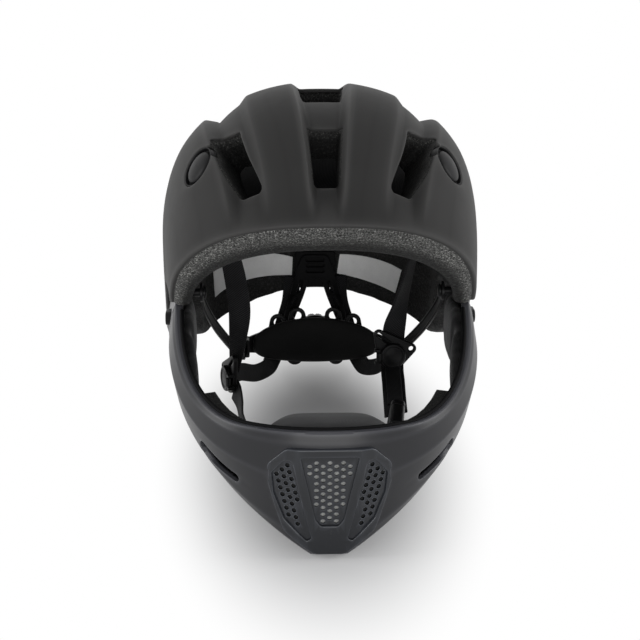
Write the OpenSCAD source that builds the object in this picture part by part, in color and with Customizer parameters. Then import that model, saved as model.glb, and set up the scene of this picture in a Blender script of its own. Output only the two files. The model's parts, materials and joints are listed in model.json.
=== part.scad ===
// Full face helmet for a young rider: ribbed and vented shell over a foam
// liner, detachable chin bar with a perforated grille, head ring and straps.
// Lengths are millimetres. The helmet is drawn upright (X to the side, Y to
// the back, Z up, zero at the chin) and then leaned back onto the surface.

/* [Shell] */
// Half width of the shell at its widest
shell_half_w = 103; // [99:1:107]
// Wall of the moulded outer shell
shell_wall = 1.8; // [1.4:0.1:2.4]
// Foam between the shell and the head at the crown
crown_foam = 28; // [24:1:32]
// Foam beside the head
side_foam = 22; // [19:1:24]
// Depth of the centre channel between the two crown ribs
channel_depth = 8; // [4:0.5:10]
// Depth of the side grooves that hold the side vents
groove_depth = 7; // [3:0.5:9]
// Height of the crown rib crests over the dome
crest_height = 2; // [0.5:0.5:3]
// Corner radius of the vents
vent_corner = 2.5; // [1.5:0.5:3.5]
// Diameter of the round caps over the visor fixings
cap_d = 26; // [20:1:28]
// Gap between pieces that only lie against each other
seat_gap = 0.3; // [0.2:0.05:0.5]

/* [Chin bar] */
// Half width of the chin bar where it leaves the shell
bar_half_w = 93; // [91:1:95]
// Height of the chin bar at its centre
bar_height = 78; // [74:1:80]
// Forward reach of the chin bar from its arms
bar_reach = 118; // [112:1:122]
// Wall of the chin bar
bar_wall = 3; // [2.5:0.1:3.5]
// Width of the flange along the top of the chin bar
top_flange = 6; // [5:0.5:8]
// Width of the flange along the bottom of the chin bar
low_flange = 10; // [8:1:12]
// Height of the crease that runs round the chin bar
crease_height = 3; // [1:0.5:4]
// Thickness of the cheek pads
cheek_pad_t = 8; // [6:0.5:9]
// Thickness of the chin pad
chin_pad_t = 20; // [16:1:22]
// Travel of the release buttons
button_travel = 2.5; // [2:0.1:3]

/* [Grille] */
// Distance across the flats of one opening
hole_size = 2.5; // [2:0.1:3]
// Distance between columns of openings
hole_pitch_x = 3.8; // [3.6:0.1:4.4]
// Distance between openings in a column
hole_pitch_z = 4.35; // [4.1:0.05:5]
// Thickness of the perforated panels
panel_t = 2; // [1.6:0.1:2.6]
// Thickness of the frame around the panels
grille_frame_t = 4; // [3.4:0.1:4.6]

/* [Head ring] */
// Width of the rear cradle
cradle_w = 104; // [96:1:110]
// Height of the rear cradle
cradle_h = 33; // [29:1:35]
// Diameter of the adjuster dial
dial_d = 31; // [29:1:32]
// Thickness of the adjuster dial
dial_t = 10; // [8:0.5:12]
// Height of the ring arms
arm_h = 8; // [6:0.5:9]
// Thickness of the ring arms
arm_t = 1.8; // [1.4:0.1:2.2]
// Travel of the cradle as the dial is turned
ring_travel = 8; // [6:0.5:9]

/* [Straps] */
// Width of the webbing
strap_w = 15; // [13:0.5:17]
// Thickness of the webbing
strap_t = 1.4; // [1.2:0.1:1.8]
// Length of the buckle body
buckle_l = 30; // [28:1:34]
// Width of the buckle body
buckle_w = 24; // [22:1:26]
// Thickness of the buckle body
buckle_t = 9; // [8:0.5:10]

/* [Hidden] */

shell_colour = [0.27, 0.265, 0.26];
foam_colour = [0.16, 0.16, 0.16];
bar_colour = [0.24, 0.25, 0.27];
trim_colour = [0.10, 0.10, 0.11];
web_colour = [0.07, 0.07, 0.07];
pad_colour = [0.32, 0.32, 0.33];

// Lateral axis through the ears, where every half plane of the dome meets
ear_y = 20;
ear_z = 70;
// Where the brim and the rear edge lie, as angles about the ear axis
brim_angle = 39;
rear_angle = 167;
// Half height of the lower, drawn-in half of the dome's section
tuck_len = 150;

// Dome along its middle: angle, radius, half width, section centre, squareness
dome = [[brim_angle, 190, shell_half_w - 8, 80, 2.6],
        [62, 199, shell_half_w - 4, 80, 2.5],
        [88, 184, shell_half_w, 80, 2.4],
        [114, 175, shell_half_w + 1, 66, 2.4],
        [141, 144, shell_half_w, 45, 2.4],
        [rear_angle, 112, shell_half_w - 3, 25, 2.3]];
// Head cavity in the same terms
cavity = [[brim_angle, 162 - (crown_foam - 22) * 0.8, shell_half_w - side_foam + 1, 75, 2.4],
          [62, 196 - crown_foam, shell_half_w - side_foam - 1, 78, 2.2],
          [88, 187 - crown_foam, shell_half_w - side_foam - 2, 78, 2.1],
          [114, 175 - crown_foam, shell_half_w - side_foam - 2, 64, 2.1],
          [141, 146 - crown_foam, shell_half_w - side_foam - 2, 43, 2.1],
          [rear_angle, 112 - side_foam, shell_half_w - side_foam - 3, 25, 2.1]];
// Lower edge of the dome: angle and distance from the ear axis
lower_edge = [[brim_angle, 88], [50, 75], [60, 66], [82, 57.5], [95, 45], [110, 36],
              [130, 33], [150, 33], [rear_angle, 36]];
// Lines that run front to back over the dome: angle off centre at the brim,
// at the crown and at the rear, and height over the plain dome
rib_lines = [[0, 0, 0, -channel_depth],
             [3, 7.2, 6, -channel_depth],
             [4.8, 9.8, 8.5, crest_height],
             [10, 20, 17, crest_height / 2],
             [17, 25.5, 23, 0.4],
             [19.5, 29, 26.5, -groove_depth / 2],
             [26, 38.5, 36, -groove_depth],
             [29, 42, 39.5, 0.8],
             [40, 54, 50, 0.8],
             [55, 68, 64, 0]];
side_columns = 3;
dome_rows = 15;
// Lift of the rear edge at its middle, where the cradle hangs
rear_arch = 5;

function mix(a, b, t) = a + (b - a) * t;
function ease(t) = let (u = min(max(t, 0), 1)) u * u * (3 - 2 * u);
function span_of(st, a, i = 0) =
    (i >= len(st) - 2 || a < st[i + 1][0]) ? i : span_of(st, a, i + 1);
function tangent_of(st, k, j) =
    let (i0 = max(k - 1, 0), i1 = min(k + 1, len(st) - 1))
    (st[i1][j] - st[i0][j]) / (st[i1][0] - st[i0][0]);
// Smooth curve through a list of stations, read in column j
function smooth_at(st, a, j) =
    let (k = span_of(st, a), h = st[k + 1][0] - st[k][0], t = (a - st[k][0]) / h)
    (1 + 2 * t) * pow(1 - t, 2) * st[k][j] + t * pow(1 - t, 2) * h * tangent_of(st, k, j)
    + t * t * (3 - 2 * t) * st[k + 1][j] + t * t * (t - 1) * h * tangent_of(st, k + 1, j);

// Point of a dome at fore-aft angle p and cross angle a, moved out by d
function dome_pt(st, p, a, d) =
    let (c = smooth_at(st, p, 3),
         w = smooth_at(st, p, 2),
         n = smooth_at(st, p, 4),
         up = cos(a) >= 0 ? smooth_at(st, p, 1) - c : tuck_len,
         rho = d + 1 / pow(pow(abs(sin(a)) / w, n) + pow(abs(cos(a)) / up, n), 1 / n),
         r = c + rho * cos(a))
    [rho * sin(a), ear_y - r * cos(p), ear_z + r * sin(p)];
// Cross angle at which the dome reaches its lower edge
function edge_angle(st, p) =
    let (c = smooth_at(st, p, 3),
         w = smooth_at(st, p, 2),
         n = smooth_at(st, p, 4),
         dr = smooth_at(lower_edge, p, 1) - c,
         up = dr >= 0 ? smooth_at(st, p, 1) - c : tuck_len)
    atan2(w * pow(1 - pow(abs(dr) / up, n), 1 / n), dr);
function rib_angle(k, p) =
    p < 88 ? mix(rib_lines[k][0], rib_lines[k][1], ease((p - brim_angle) / (88 - brim_angle)))
           : mix(rib_lines[k][1], rib_lines[k][2], ease((p - 88) / 62));
// Ribs and grooves fade out towards the brim and the rear edge
function rib_fade(p) = ease((p - brim_angle - 1) / 12) * (1 - 0.7 * ease((p - 146) / 21));
last_rib = len(rib_lines) - 1;
columns = last_rib + side_columns;
function column_angle(st, k, p) =
    k <= last_rib ? rib_angle(k, p)
    : mix(rib_angle(last_rib, p), edge_angle(st, p), (k - last_rib) / side_columns);
// The centre channel rises to a bridge behind the crown vent
function channel_share(p) = 1 - 0.75 * ease((p - 76) / 9) * (1 - ease((p - 98) / 12));
function column_height(k, p) =
    k > last_rib ? 0 : rib_lines[k][3] * rib_fade(p) * (k < 2 ? channel_share(p) : 1);
function rear_limit(k, p1) = p1 - rear_arch * (1 - pow(k / columns, 2));
function dome_grid(st, ribbed, inset, over) =
    [for (i = [0:dome_rows])
        [for (j = [-columns:columns])
            let (k = abs(j), p = mix(brim_angle, rear_limit(k, rear_angle), i / dome_rows)
                                 + (i == 0 ? -over : i == dome_rows ? over : 0))
            dome_pt(st, p, sign(j) * column_angle(st, k, p),
                    (ribbed ? column_height(k, p) : 0) - inset)]];

// Faces of a grid of rows by cols points that starts at index base
function patch_faces(rows, cols, base, flip) =
    [for (i = [0:rows - 2], j = [0:cols - 2])
        let (a = base + i * cols + j, b = a + 1, c = a + cols, d = c + 1)
        each (flip ? [[a, b, c], [b, d, c]] : [[a, c, b], [b, c, d]])];
function border_of(rows, cols) =
    concat([for (j = [0:cols - 1]) j],
           [for (i = [1:rows - 1]) i * cols + cols - 1],
           [for (j = [cols - 2:-1:0]) (rows - 1) * cols + j],
           [for (i = [rows - 2:-1:1]) i * cols]);
function band_faces(loop, m) =
    [for (i = [0:len(loop) - 1]) let (a = loop[i], b = loop[(i + 1) % len(loop)])
        each [[a, b, a + m], [b, b + m, a + m]]];
// Closed wall between an outer and an inner grid of the same size
module wall_between(outer, inner) {
    rows = len(outer);
    cols = len(outer[0]);
    polyhedron(points = concat([for (r = outer) each r], [for (r = inner) each r]),
               faces = concat(patch_faces(rows, cols, 0, false),
                              patch_faces(rows, cols, rows * cols, true),
                              band_faces(border_of(rows, cols), rows * cols)));
}
// Closed solid through a row of rings of equal length
module loft(rings) {
    m = len(rings[0]);
    n = len(rings);
    polyhedron(points = [for (r = rings) each r],
               faces = concat(
                   [for (i = [0:n - 2], j = [0:m - 1])
                       let (a = i * m + j, b = i * m + (j + 1) % m)
                       each [[a, b, a + m], [b, b + m, a + m]]],
                   [for (j = [1:m - 2]) [0, j + 1, j]],
                   [for (j = [1:m - 2]) [(n - 1) * m, (n - 1) * m + j, (n - 1) * m + j + 1]]));
}

// Front of the chin bar at its middle
bar_ear_y = -46;
bar_front_y = bar_ear_y - bar_reach;
// Lowest points that carry the helmet: chin lip and the loops under the cradle
chin_tip_y = bar_front_y + 20;
loop_y = 100.5;
loop_bottom_z = 44;
lean = atan(loop_bottom_z / (loop_y - chin_tip_y));
// Depth of the small flats where it stands
stand_flat = 0.5;
stand_drop = -chin_tip_y * sin(lean) + stand_flat;
// Distance that centres the leaned helmet over the origin
centre_shift = -3.2;
module leaned_back() {
    translate([0, centre_shift, -stand_drop]) rotate([-lean, 0, 0]) children();
}
// Takes away whatever would stand below the surface
module stood_flat() {
    difference() {
        leaned_back() children();
        translate([0, 0, -10]) cube([400, 400, 20], center = true);
    }
}
module at_both_sides() {
    children();
    mirror([1, 0, 0]) children();
}

// One rounded vent through shell and foam, bounded by two cross angles at its
// front and two at its rear
vent_reach_out = 14;
vent_reach_in = 48;
module vent(p_front, a_front, p_rear, a_rear) {
    hull() {
        for (c = [[p_front, a_front[0]], [p_front, a_front[1]],
                  [p_rear, a_rear[0]], [p_rear, a_rear[1]]], d = [vent_reach_out, -vent_reach_in])
            translate(dome_pt(dome, c[0], c[1], d)) sphere(r = vent_corner * 1.2, $fn = 4);
    }
}
module vents() {
    vent(48, [-2.4, 2.4], 60, [-3.6, 3.6]);
    vent(74.5, [-4.6, 4.6], 86.5, [-6.6, 6.6]);
    vent(100, [-5.6, 5.6], 114, [-5.4, 5.4]);
    vent(125, [-5, 5], 139, [-4.4, 4.4]);
    at_both_sides() {
        vent(47, [20.5, 24.5], 62, [27.5, 33]);
        vent(84, [31, 36], 102, [30.5, 36]);
        vent(114, [29.5, 35], 131, [29, 33.5]);
        vent(88, [78, 84], 103, [78, 84]);
        vent(120, [62, 70], 136, [60, 67]);
    }
}

// Frame of a visor cap: its place on the dome and its outward direction
cap_p = 58.5;
cap_a = 40.5;
function unit(v) = v / norm(v);
cap_mid = dome_pt(dome, cap_p, cap_a, 0.4);
cap_out = unit(cross(dome_pt(dome, cap_p, cap_a + 3, 0) - dome_pt(dome, cap_p, cap_a - 3, 0),
                     dome_pt(dome, cap_p + 3, cap_a, 0) - dome_pt(dome, cap_p - 3, cap_a, 0)));
cap_depth = 6;
module toward(v) {
    rotate([0, acos(v[2] / norm(v)), atan2(v[1], v[0])]) children();
}
module cap_pocket() {
    translate(cap_mid - cap_out * (cap_depth + seat_gap)) toward(cap_out)
        cylinder(d = cap_d + 2 * seat_gap, h = cap_depth + 20, $fn = 28);
}
module visor_cap() {
    translate(cap_mid - cap_out * cap_depth) toward(cap_out) rotate_extrude($fn = 22)
        polygon([[0, 0], [cap_d / 2, 0], [cap_d / 2, cap_depth - 1.2],
                 [cap_d / 2 - 2, cap_depth - 2.4], [cap_d / 2 - 3, cap_depth - 1], [0, cap_depth + 0.6]]);
}

module outer_shell() {
    color(shell_colour) leaned_back() difference() {
        wall_between(dome_grid(dome, true, 0, 0), dome_grid(dome, true, shell_wall, 0));
        vents();
        at_both_sides() cap_pocket();
    }
}

liner_overlap = 0.7;
module foam_liner() {
    color(foam_colour) leaned_back() difference() {
        wall_between(dome_grid(dome, true, shell_wall + seat_gap, liner_overlap),
                     dome_grid(cavity, false, 0, liner_overlap));
        vents();
        at_both_sides() {
            cap_pocket();
            tongue_slot();
            socket_pocket();
            pin_hole();
            strap_anchor_block(seat_gap);
        }
    }
}
module visor_cap_right() { color(trim_colour) leaned_back() visor_cap(); }
module visor_cap_left() { color(trim_colour) leaned_back() mirror([1, 0, 0]) visor_cap(); }

pad_gap = 0.8;
// Comfort pads: a curved bolster on the cavity wall between two cross angles
function pad_ring(p, w, t, a_mid, a_half, f) =
    [for (i = [0:7]) let (q = -i * 45)
        dome_pt(cavity, p + f * w * sin(q), a_mid + a_half, -t * f * (0.52 + 0.5 * cos(q)) - pad_gap)];
module comfort_pad(p, half_p, t, half_a, steps) {
    loft([for (i = [0:steps]) let (u = 2 * i / steps - 1, f = sqrt(max(1 - pow(abs(u), 5), 0.12)))
        pad_ring(p, half_p, t, 0, u * half_a, f)]);
}
module brow_pad() { color(web_colour) leaned_back() comfort_pad(50, 4.5, 5, 44, 12); }
module crown_pad() { color(web_colour) leaned_back() comfort_pad(91, 4, 5, 26, 8); }

// Chin bar in plan: s is 0 at its centre, 90 where the arms start and arm_end
// at their rear ends
bar_power = 2.2;
arm_end = 140;
arm_flare = 7;
lower_reach_cut = 10;
arm_top_gap = 0.6;
bar_low_z = 77;
bar_top_z = 124.6;
function arm_angle(s) = mix(41.5, 118, (s - 90) / (arm_end - 90));
function arm_y(s) = let (p = arm_angle(s)) ear_y - smooth_at(lower_edge, p, 1) * cos(p) - arm_top_gap;
function arm_top(s) = let (p = arm_angle(s)) ear_z + smooth_at(lower_edge, p, 1) * sin(p) - arm_top_gap;
function bar_top(s) = s <= 90 ? bar_height + (bar_top_z - bar_height) * pow(max(s - 30, 0) / 60, 2)
                              : min(arm_top(s), bar_top_z);
function bar_low(s) = bar_low_z * (1 - pow(1 - min(max(s - 10, 0) / 70, 1), 1.35));
function bar_xy(s, f) =
    s <= 90 ? [bar_half_w * pow(sin(s), 2 / bar_power),
               bar_ear_y - (bar_reach - lower_reach_cut * (1 - f)) * pow(cos(s), 2 / bar_power)]
            : [bar_half_w + arm_flare * (s - 90) / (arm_end - 90),
               mix(bar_ear_y, arm_y(s), ease((s - 90) / 8))];
function bar_normal(s, f) =
    s >= 88 ? [1, 0] : s < 2 ? [0, -1] :
    let (v = unit(bar_xy(s + 1, f) - bar_xy(s - 1, f))) [v[1], -v[0]];
// Point at station s, height share f plus dz, moved outward by o
function bar_pt(s, f, dz, o) =
    let (q = bar_xy(abs(s), f), n = bar_normal(abs(s), f), m = s < 0 ? -1 : 1)
    [m * (q[0] + o * n[0]), q[1] + o * n[1],
     mix(bar_low(abs(s)), bar_top(abs(s)), f) + dz];
// Outline of the channel section, as [height share, dz, outward]
function bar_section(t) =
    [[0, 0, -low_flange], [0, 0, -3], [0.10, 0, 0], [0.58, 0, crease_height], [0.9, 0, 0.5],
     [1, 0, -1.5], [1, 0, -top_flange], [1, -t, -top_flange], [1, -t, -1.5 - t],
     [0.9, -t / 3, 0.5 - t], [0.58, 0, crease_height - t], [0.10, t / 3, -t],
     [0, t, -3 - t * 0.8], [0, t, -low_flange]];
bar_steps = 24;
function bar_stations(s_end, n) = [for (i = [-n:n]) s_end * i / n];
function bar_ring(s, section) = [for (q = section) bar_pt(s, q[0], q[1], q[2])];

// Side intake of the chin bar: a deep slot that runs out into a shallow groove
module intake() {
    hull() {
        translate([bar_half_w - 25, bar_front_y + 38, 51]) sphere(r = 3.2, $fn = 8);
        translate([bar_half_w - 17, bar_front_y + 46, 55]) sphere(r = 3.2, $fn = 8);
        translate([bar_half_w - 39, bar_front_y + 24, 44.5]) sphere(r = 2.2, $fn = 8);
        translate([bar_half_w - 46, bar_front_y + 46, 46]) sphere(r = 3.2, $fn = 8);
        translate([bar_half_w - 33, bar_front_y + 60, 52]) sphere(r = 3.2, $fn = 8);
    }
    hull() {
        translate([bar_half_w - 36, bar_front_y + 18, 44]) sphere(r = 4, $fn = 8);
        translate([bar_half_w - 51, bar_front_y + 7, 35]) sphere(r = 1.5, $fn = 8);
    }
}
// Window for the release button
button_mid = [0, -8, 107];
button_l = 16;
button_h = 9;
module button_slot(gap, x0, x1) {
    hull() for (d = [-1, 1])
        translate([x0, button_mid[1] + d * (button_l - button_h) / 2, button_mid[2]])
            rotate([0, 90, 0]) cylinder(d = button_h + 2 * gap, h = x1 - x0, $fn = 20);
}
// Cup on the inside of the arm that holds the button's spring
button_out_x = 100.3;
button_in_x = 91.8;
button_flange = 1.2;
cup_floor_x = button_in_x - button_travel - 0.1;
cup_wall = 1.3;
module button_cup(gap) {
    difference() {
        button_slot(button_flange + 0.7 + cup_wall + gap, cup_floor_x - cup_wall - gap, 95.5);
        if (gap == 0) button_slot(button_flange + 0.7, cup_floor_x, 110);
    }
}

// Grille: outline seen from the front, x against z
grille_half = [[25, 68.4], [35.5, 58], [36, 49], [33, 37], [29, 23.7], [26, 16], [9, 1.6]];
function mirrored(half) = concat(half, [for (i = [len(half) - 1:-1:0]) [-half[i][0], half[i][1]]]);
module grille_outline(grow) { offset(delta = grow) polygon(mirrored(grille_half)); }
centre_shape = [[-16.5, 63.5], [16.5, 63.5], [8, 24], [5, 20], [-5, 20], [-8, 24]];
side_shape = [[21.5, 60.5], [25.5, 61.5], [33, 52.5], [32, 40], [26, 24], [13, 10.5], [10.5, 12], [16, 34]];
module centre_panel(grow) { offset(r = 1.5 + grow, $fn = 16) offset(delta = -1.5) polygon(centre_shape); }
module side_panel(grow) { offset(r = 1.2 + grow, $fn = 16) offset(delta = -1.2) polygon(side_shape); }
// Distance of a point inside a convex outline from its nearest side
function depth_in(shape, q) =
    min([for (i = [0:len(shape) - 1])
        let (a = shape[i], b = shape[(i + 1) % len(shape)], d = b - a)
        (d[1] * (q[0] - a[0]) - d[0] * (q[1] - a[1])) / norm(d)]);
hole_margin = 2.1;
module hole_field(shape, mid, turn, cols, rows) {
    for (i = [-cols:cols], j = [-rows:rows]) {
        x = i * hole_pitch_x;
        z = (j + (abs(i) % 2) / 2) * hole_pitch_z;
        q = mid + [x * cos(turn) - z * sin(turn), x * sin(turn) + z * cos(turn)];
        if (depth_in(shape, q) > hole_margin)
            translate(q) rotate(turn) circle(d = hole_size / cos(30), $fn = 6);
    }
}
module centre_holes() { hole_field(centre_shape, [0, 42], 0, 3, 6); }
module side_holes() { hole_field(side_shape, [23, 38], 15, 3, 7); }
// Seen-from-the-front pattern turned into a solid that runs along Y
module facing_front() { translate([0, bar_front_y + 44, 0]) rotate([90, 0, 0]) linear_extrude(60) children(); }
grille_front_y = bar_front_y - 1.5;
grille_side_y = grille_front_y + 7;
grille_foot_y = grille_front_y + 11;
// How far the frame stands out over the perforated panels
grille_proud = 1.4;
// Wall bent in plan like the grille, leaning back towards its foot
module grille_wall(out, t) {
    wall_lean = atan((grille_foot_y - grille_front_y) / 68);
    translate([0, grille_front_y, 68]) rotate([wall_lean, 0, 0]) translate([0, -grille_front_y, -80])
        linear_extrude(90) {
            back = grille_side_y + (grille_side_y - grille_front_y) * 6 / 18;
            polygon([[-42, back - out], [-18, grille_front_y - out], [18, grille_front_y - out],
                     [42, back - out], [42, back - out + t], [18, grille_front_y - out + t],
                     [-18, grille_front_y - out + t], [-42, back - out + t]]);
        }
}
module grille_opening() {
    hull() facing_front() grille_outline(seat_gap);
}

// Tongue of each arm and the socket in the foam that takes it
tongue_x = 88;
tongue_t = 4;
tongue_low = 103;
tongue_high = 114;
tongue_tip_y = 42;
tongue_root_y = 8;
socket_wall = 2;
socket_y = 37;
tongue_gap = 0.4;
module tongue() {
    translate([tongue_x, tongue_root_y, tongue_low])
        cube([tongue_t, tongue_tip_y - tongue_root_y, tongue_high - tongue_low]);
    // Root that carries the tongue on the skin of the arm
    translate([tongue_x, tongue_root_y, tongue_low])
        cube([9, 7, tongue_high - tongue_low]);
}
module tongue_slot() {
    translate([tongue_x - tongue_gap, tongue_root_y, tongue_low - tongue_gap])
        cube([tongue_t + 2 * tongue_gap, tongue_tip_y - tongue_root_y + 1,
              tongue_high - tongue_low + 2 * tongue_gap]);
}
socket_len = tongue_tip_y - socket_y + 4;
module socket_block(gap) {
    translate([tongue_x - socket_wall - tongue_gap - gap, socket_y - gap,
               tongue_low - socket_wall - tongue_gap - gap])
        cube([tongue_t + 2 * (tongue_gap + socket_wall + gap), socket_len + 2 * gap,
              tongue_high - tongue_low + 2 * (tongue_gap + socket_wall + gap)]);
}
module socket_pocket() { socket_block(seat_gap); }
module latch_socket() {
    difference() {
        socket_block(0);
        translate([0, 1, 0]) tongue_slot();
    }
}
module latch_socket_right() { color(trim_colour) leaned_back() latch_socket(); }
module latch_socket_left() { color(trim_colour) leaned_back() mirror([1, 0, 0]) latch_socket(); }

module chin_bar() {
    color(bar_colour) stood_flat() {
        difference() {
            loft([for (s = bar_stations(arm_end, bar_steps))
                bar_ring(s, bar_section(bar_wall))]);
            grille_opening();
            at_both_sides() {
                intake();
                button_slot(seat_gap, 90, 110);
            }
        }
        at_both_sides() {
            tongue();
            button_cup(0);
        }
    }
}

// Foam that fills the channel of the chin bar, out to the width of its flange
foam_reach = 16;
function foam_section(t) =
    [[0, t, -foam_reach], [0, t, -3 - t * 0.8], [0.10, t / 3, -t],
     [0.58, 0, crease_height - t], [0.9, -t / 3, 0.5 - t], [1, -t, -1.5 - t], [1, -t, -foam_reach]];
foam_steps = 10;
bar_foam_end = arm_end * foam_steps / bar_steps;
filter_t = 4;
module chin_bar_foam() {
    color(foam_colour) leaned_back() difference() {
        loft([for (s = bar_stations(bar_foam_end, foam_steps))
            bar_ring(s, foam_section(bar_wall + seat_gap + 0.1))]);
        hull() facing_front() centre_panel(3);
        at_both_sides() {
            hull() facing_front() side_panel(2);
            intake();
        }
        translate([0, bar_front_y + 6, 34]) cube([76, 25, 76], center = true);
        // Cross channels that join the openings behind the filter
        for (z = [14, 58]) hull() for (m = [-1, 1])
            translate([m * 32, bar_front_y + 20, z]) sphere(r = 2.5, $fn = 8);
    }
}

module chin_grille() {
    color(bar_colour) leaned_back() {
        intersection() {
            grille_wall(0, panel_t);
            facing_front() difference() {
                grille_outline(0);
                centre_holes();
                side_holes();
                mirror([1, 0]) side_holes();
            }
        }
        intersection() {
            grille_wall(grille_proud, grille_frame_t);
            facing_front() difference() {
                grille_outline(0);
                centre_panel(0);
                side_panel(0);
                mirror([1, 0]) side_panel(0);
            }
        }
    }
}
// Open-cell foam sheet behind the perforated panels
module grille_filter() {
    color(pad_colour) leaned_back() intersection() {
        grille_wall(grille_proud - grille_frame_t - seat_gap, filter_t);
        facing_front() offset(delta = -5) grille_outline(0);
    }
}

// Soft pads. Rings of a cushion: a rounded section, drawn in at both ends
pad_sides = 8;
function cushion_ring(s, z0, z1, o_back, t, f) =
    let (m = s < 0 ? -1 : 1)
    [for (i = [0:pad_sides - 1])
        let (q = -i * 360 / pad_sides, c = cos(q), w = sin(q),
             cc = sign(c) * pow(abs(c), 0.7), ww = sign(w) * pow(abs(w), 0.7),
             xy = bar_xy(abs(s), 1), n = bar_normal(abs(s), 1),
             o = o_back - t / 2 - t / 2 * f * cc)
        [m * (xy[0] + o * n[0]), xy[1] + o * n[1], (z0 + z1) / 2 + (z1 - z0) / 2 * f * ww]];
chin_pad_end = 27;
chin_pad_low = 54;
module chin_pad() {
    color(pad_colour) leaned_back()
        loft([for (i = [-8:8]) let (u = i / 8, f = pow(1 - pow(abs(u), 6) * 0.7, 0.5))
            cushion_ring(u * chin_pad_end, chin_pad_low, bar_height + 1.5 - 2 * u * u,
                         -foam_reach - 1.1, chin_pad_t - 4 * u * u, f)]);
}
cheek_start = 61;
cheek_end = 136;
cheek_back = -3.6;
// Cheek pad with two sewn channels across it
module cheek_pad() {
    difference() {
        loft([for (i = [0:11])
            let (u = i / 11, s = mix(cheek_start, cheek_end, u),
                 f = pow(1 - pow(abs(2 * u - 1), 8) * 0.75, 0.5),
                 channel = 0.22 * (exp(-pow((u - 0.36) / 0.04, 2)) + exp(-pow((u - 0.68) / 0.04, 2))))
            cushion_ring(s, bar_low(s) + 5, bar_top(s) - 4.5, cheek_back,
                         (cheek_pad_t + 1) * (1 - channel), f)]);
        button_cup(seat_gap);
        translate([tongue_x - 1, tongue_root_y - 1, tongue_low - 1])
            cube([20, 60, tongue_high - tongue_low + 2]);
    }
}
module cheek_pad_right() { color(web_colour) leaned_back() cheek_pad(); }
module cheek_pad_left() { color(web_colour) leaned_back() mirror([1, 0, 0]) cheek_pad(); }

// Sprung clip in the latch socket: a bent leaf beside the tongue
clip_t = 0.8;
module latch_clip() {
    translate([0, 0, tongue_low + 2]) linear_extrude(tongue_high - tongue_low - 4)
        polygon([[tongue_x - 0.35, socket_y + 1.5], [tongue_x - 0.08, socket_y + 5],
                 [tongue_x - 0.35, tongue_tip_y - 0.5],
                 [tongue_x - 0.35, tongue_tip_y + 0.6], [tongue_x + tongue_t, tongue_tip_y + 0.6],
                 [tongue_x + tongue_t, tongue_tip_y + 0.9], [tongue_x - 0.39, tongue_tip_y + 0.9],
                 [tongue_x - 0.39, socket_y + 1.5]]);
}
module latch_clip_right() { color("silver") leaned_back() latch_clip(); }
module latch_clip_left() { color("silver") leaned_back() mirror([1, 0, 0]) latch_clip(); }

// Release button: an oval cap with a flange inside the arm
module release_button() {
    button_slot(0, button_in_x, button_out_x);
    button_slot(button_flange, button_in_x, button_in_x + 1.2);
}
module release_button_right() { color(trim_colour) leaned_back() release_button(); }
module release_button_left() { color(trim_colour) leaned_back() mirror([1, 0, 0]) release_button(); }
// Leaf spring behind the button
module button_spring() {
    x1 = button_in_x - 0.05;
    x0 = cup_floor_x + 0.05;
    translate([0, button_mid[1], button_mid[2] - 2]) linear_extrude(4)
        polygon([[x0, -7], [x0, -5], [x1 - 0.5, 0], [x0, 5], [x0, 7],
                 [x0 + 0.5, 7], [x0 + 0.5, 5.2], [x1, 0], [x0 + 0.5, -5.2], [x0 + 0.5, -7]]);
}
module button_spring_right() { color("silver") leaned_back() button_spring(); }
module button_spring_left() { color("silver") leaned_back() mirror([1, 0, 0]) button_spring(); }

// Flat band or strap along a route; each point has the direction of its width
function band_rings(route, wide, w, t) =
    [for (i = [0:len(route) - 1])
        let (a = route[max(i - 1, 0)], b = route[min(i + 1, len(route) - 1)], d = unit(b - a),
             across = unit(wide[i] - d * (wide[i] * d)), n = cross(d, across))
        [route[i] + across * w / 2 + n * t / 2, route[i] + across * w / 2 - n * t / 2,
         route[i] - across * w / 2 - n * t / 2, route[i] - across * w / 2 + n * t / 2]];
// Route made finer with a smooth curve through its points
function spline_pt(r, i, t) =
    let (n = len(r) - 1, p0 = r[max(i - 1, 0)], p1 = r[i], p2 = r[min(i + 1, n)], p3 = r[min(i + 2, n)])
    0.5 * (2 * p1 + (p2 - p0) * t + (2 * p0 - 5 * p1 + 4 * p2 - p3) * t * t
           + (3 * p1 - p0 - 3 * p2 + p3) * t * t * t);
function smooth_route(r, k) =
    concat([for (i = [0:len(r) - 2], j = [0:k - 1]) spline_pt(r, i, j / k)], [r[len(r) - 1]]);
module strap(route, wide, w, t, k = 3) {
    loft(band_rings(smooth_route(route, k), smooth_route(wide, k), w, t));
}

// Head ring: pins at the temples, two arms, the cradle and its dial
sleeve_x = cradle_w / 2 - 1;
temple_x = shell_half_w - side_foam - 5.5;
pin_mid = [temple_x, -42, 131];
pin_r = 2.5;
pin_gap = 0.05;
module ring_pin() {
    translate([pin_mid[0] - arm_t / 2 - 1.6, pin_mid[1], pin_mid[2]]) rotate([0, 90, 0]) {
        cylinder(r = pin_r, h = 12, $fn = 24);
        cylinder(r = pin_r + 1.5, h = 1.2, $fn = 24);
    }
}
module pin_hole() {
    translate([pin_mid[0], pin_mid[1], pin_mid[2]]) rotate([0, 90, 0])
        cylinder(r = pin_r + 0.1, h = 10.5, $fn = 24);
}
module ring_pin_right() { color(trim_colour) leaned_back() ring_pin(); }
module ring_pin_left() { color(trim_colour) leaned_back() mirror([1, 0, 0]) ring_pin(); }
cradle_z = 63.5;
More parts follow.
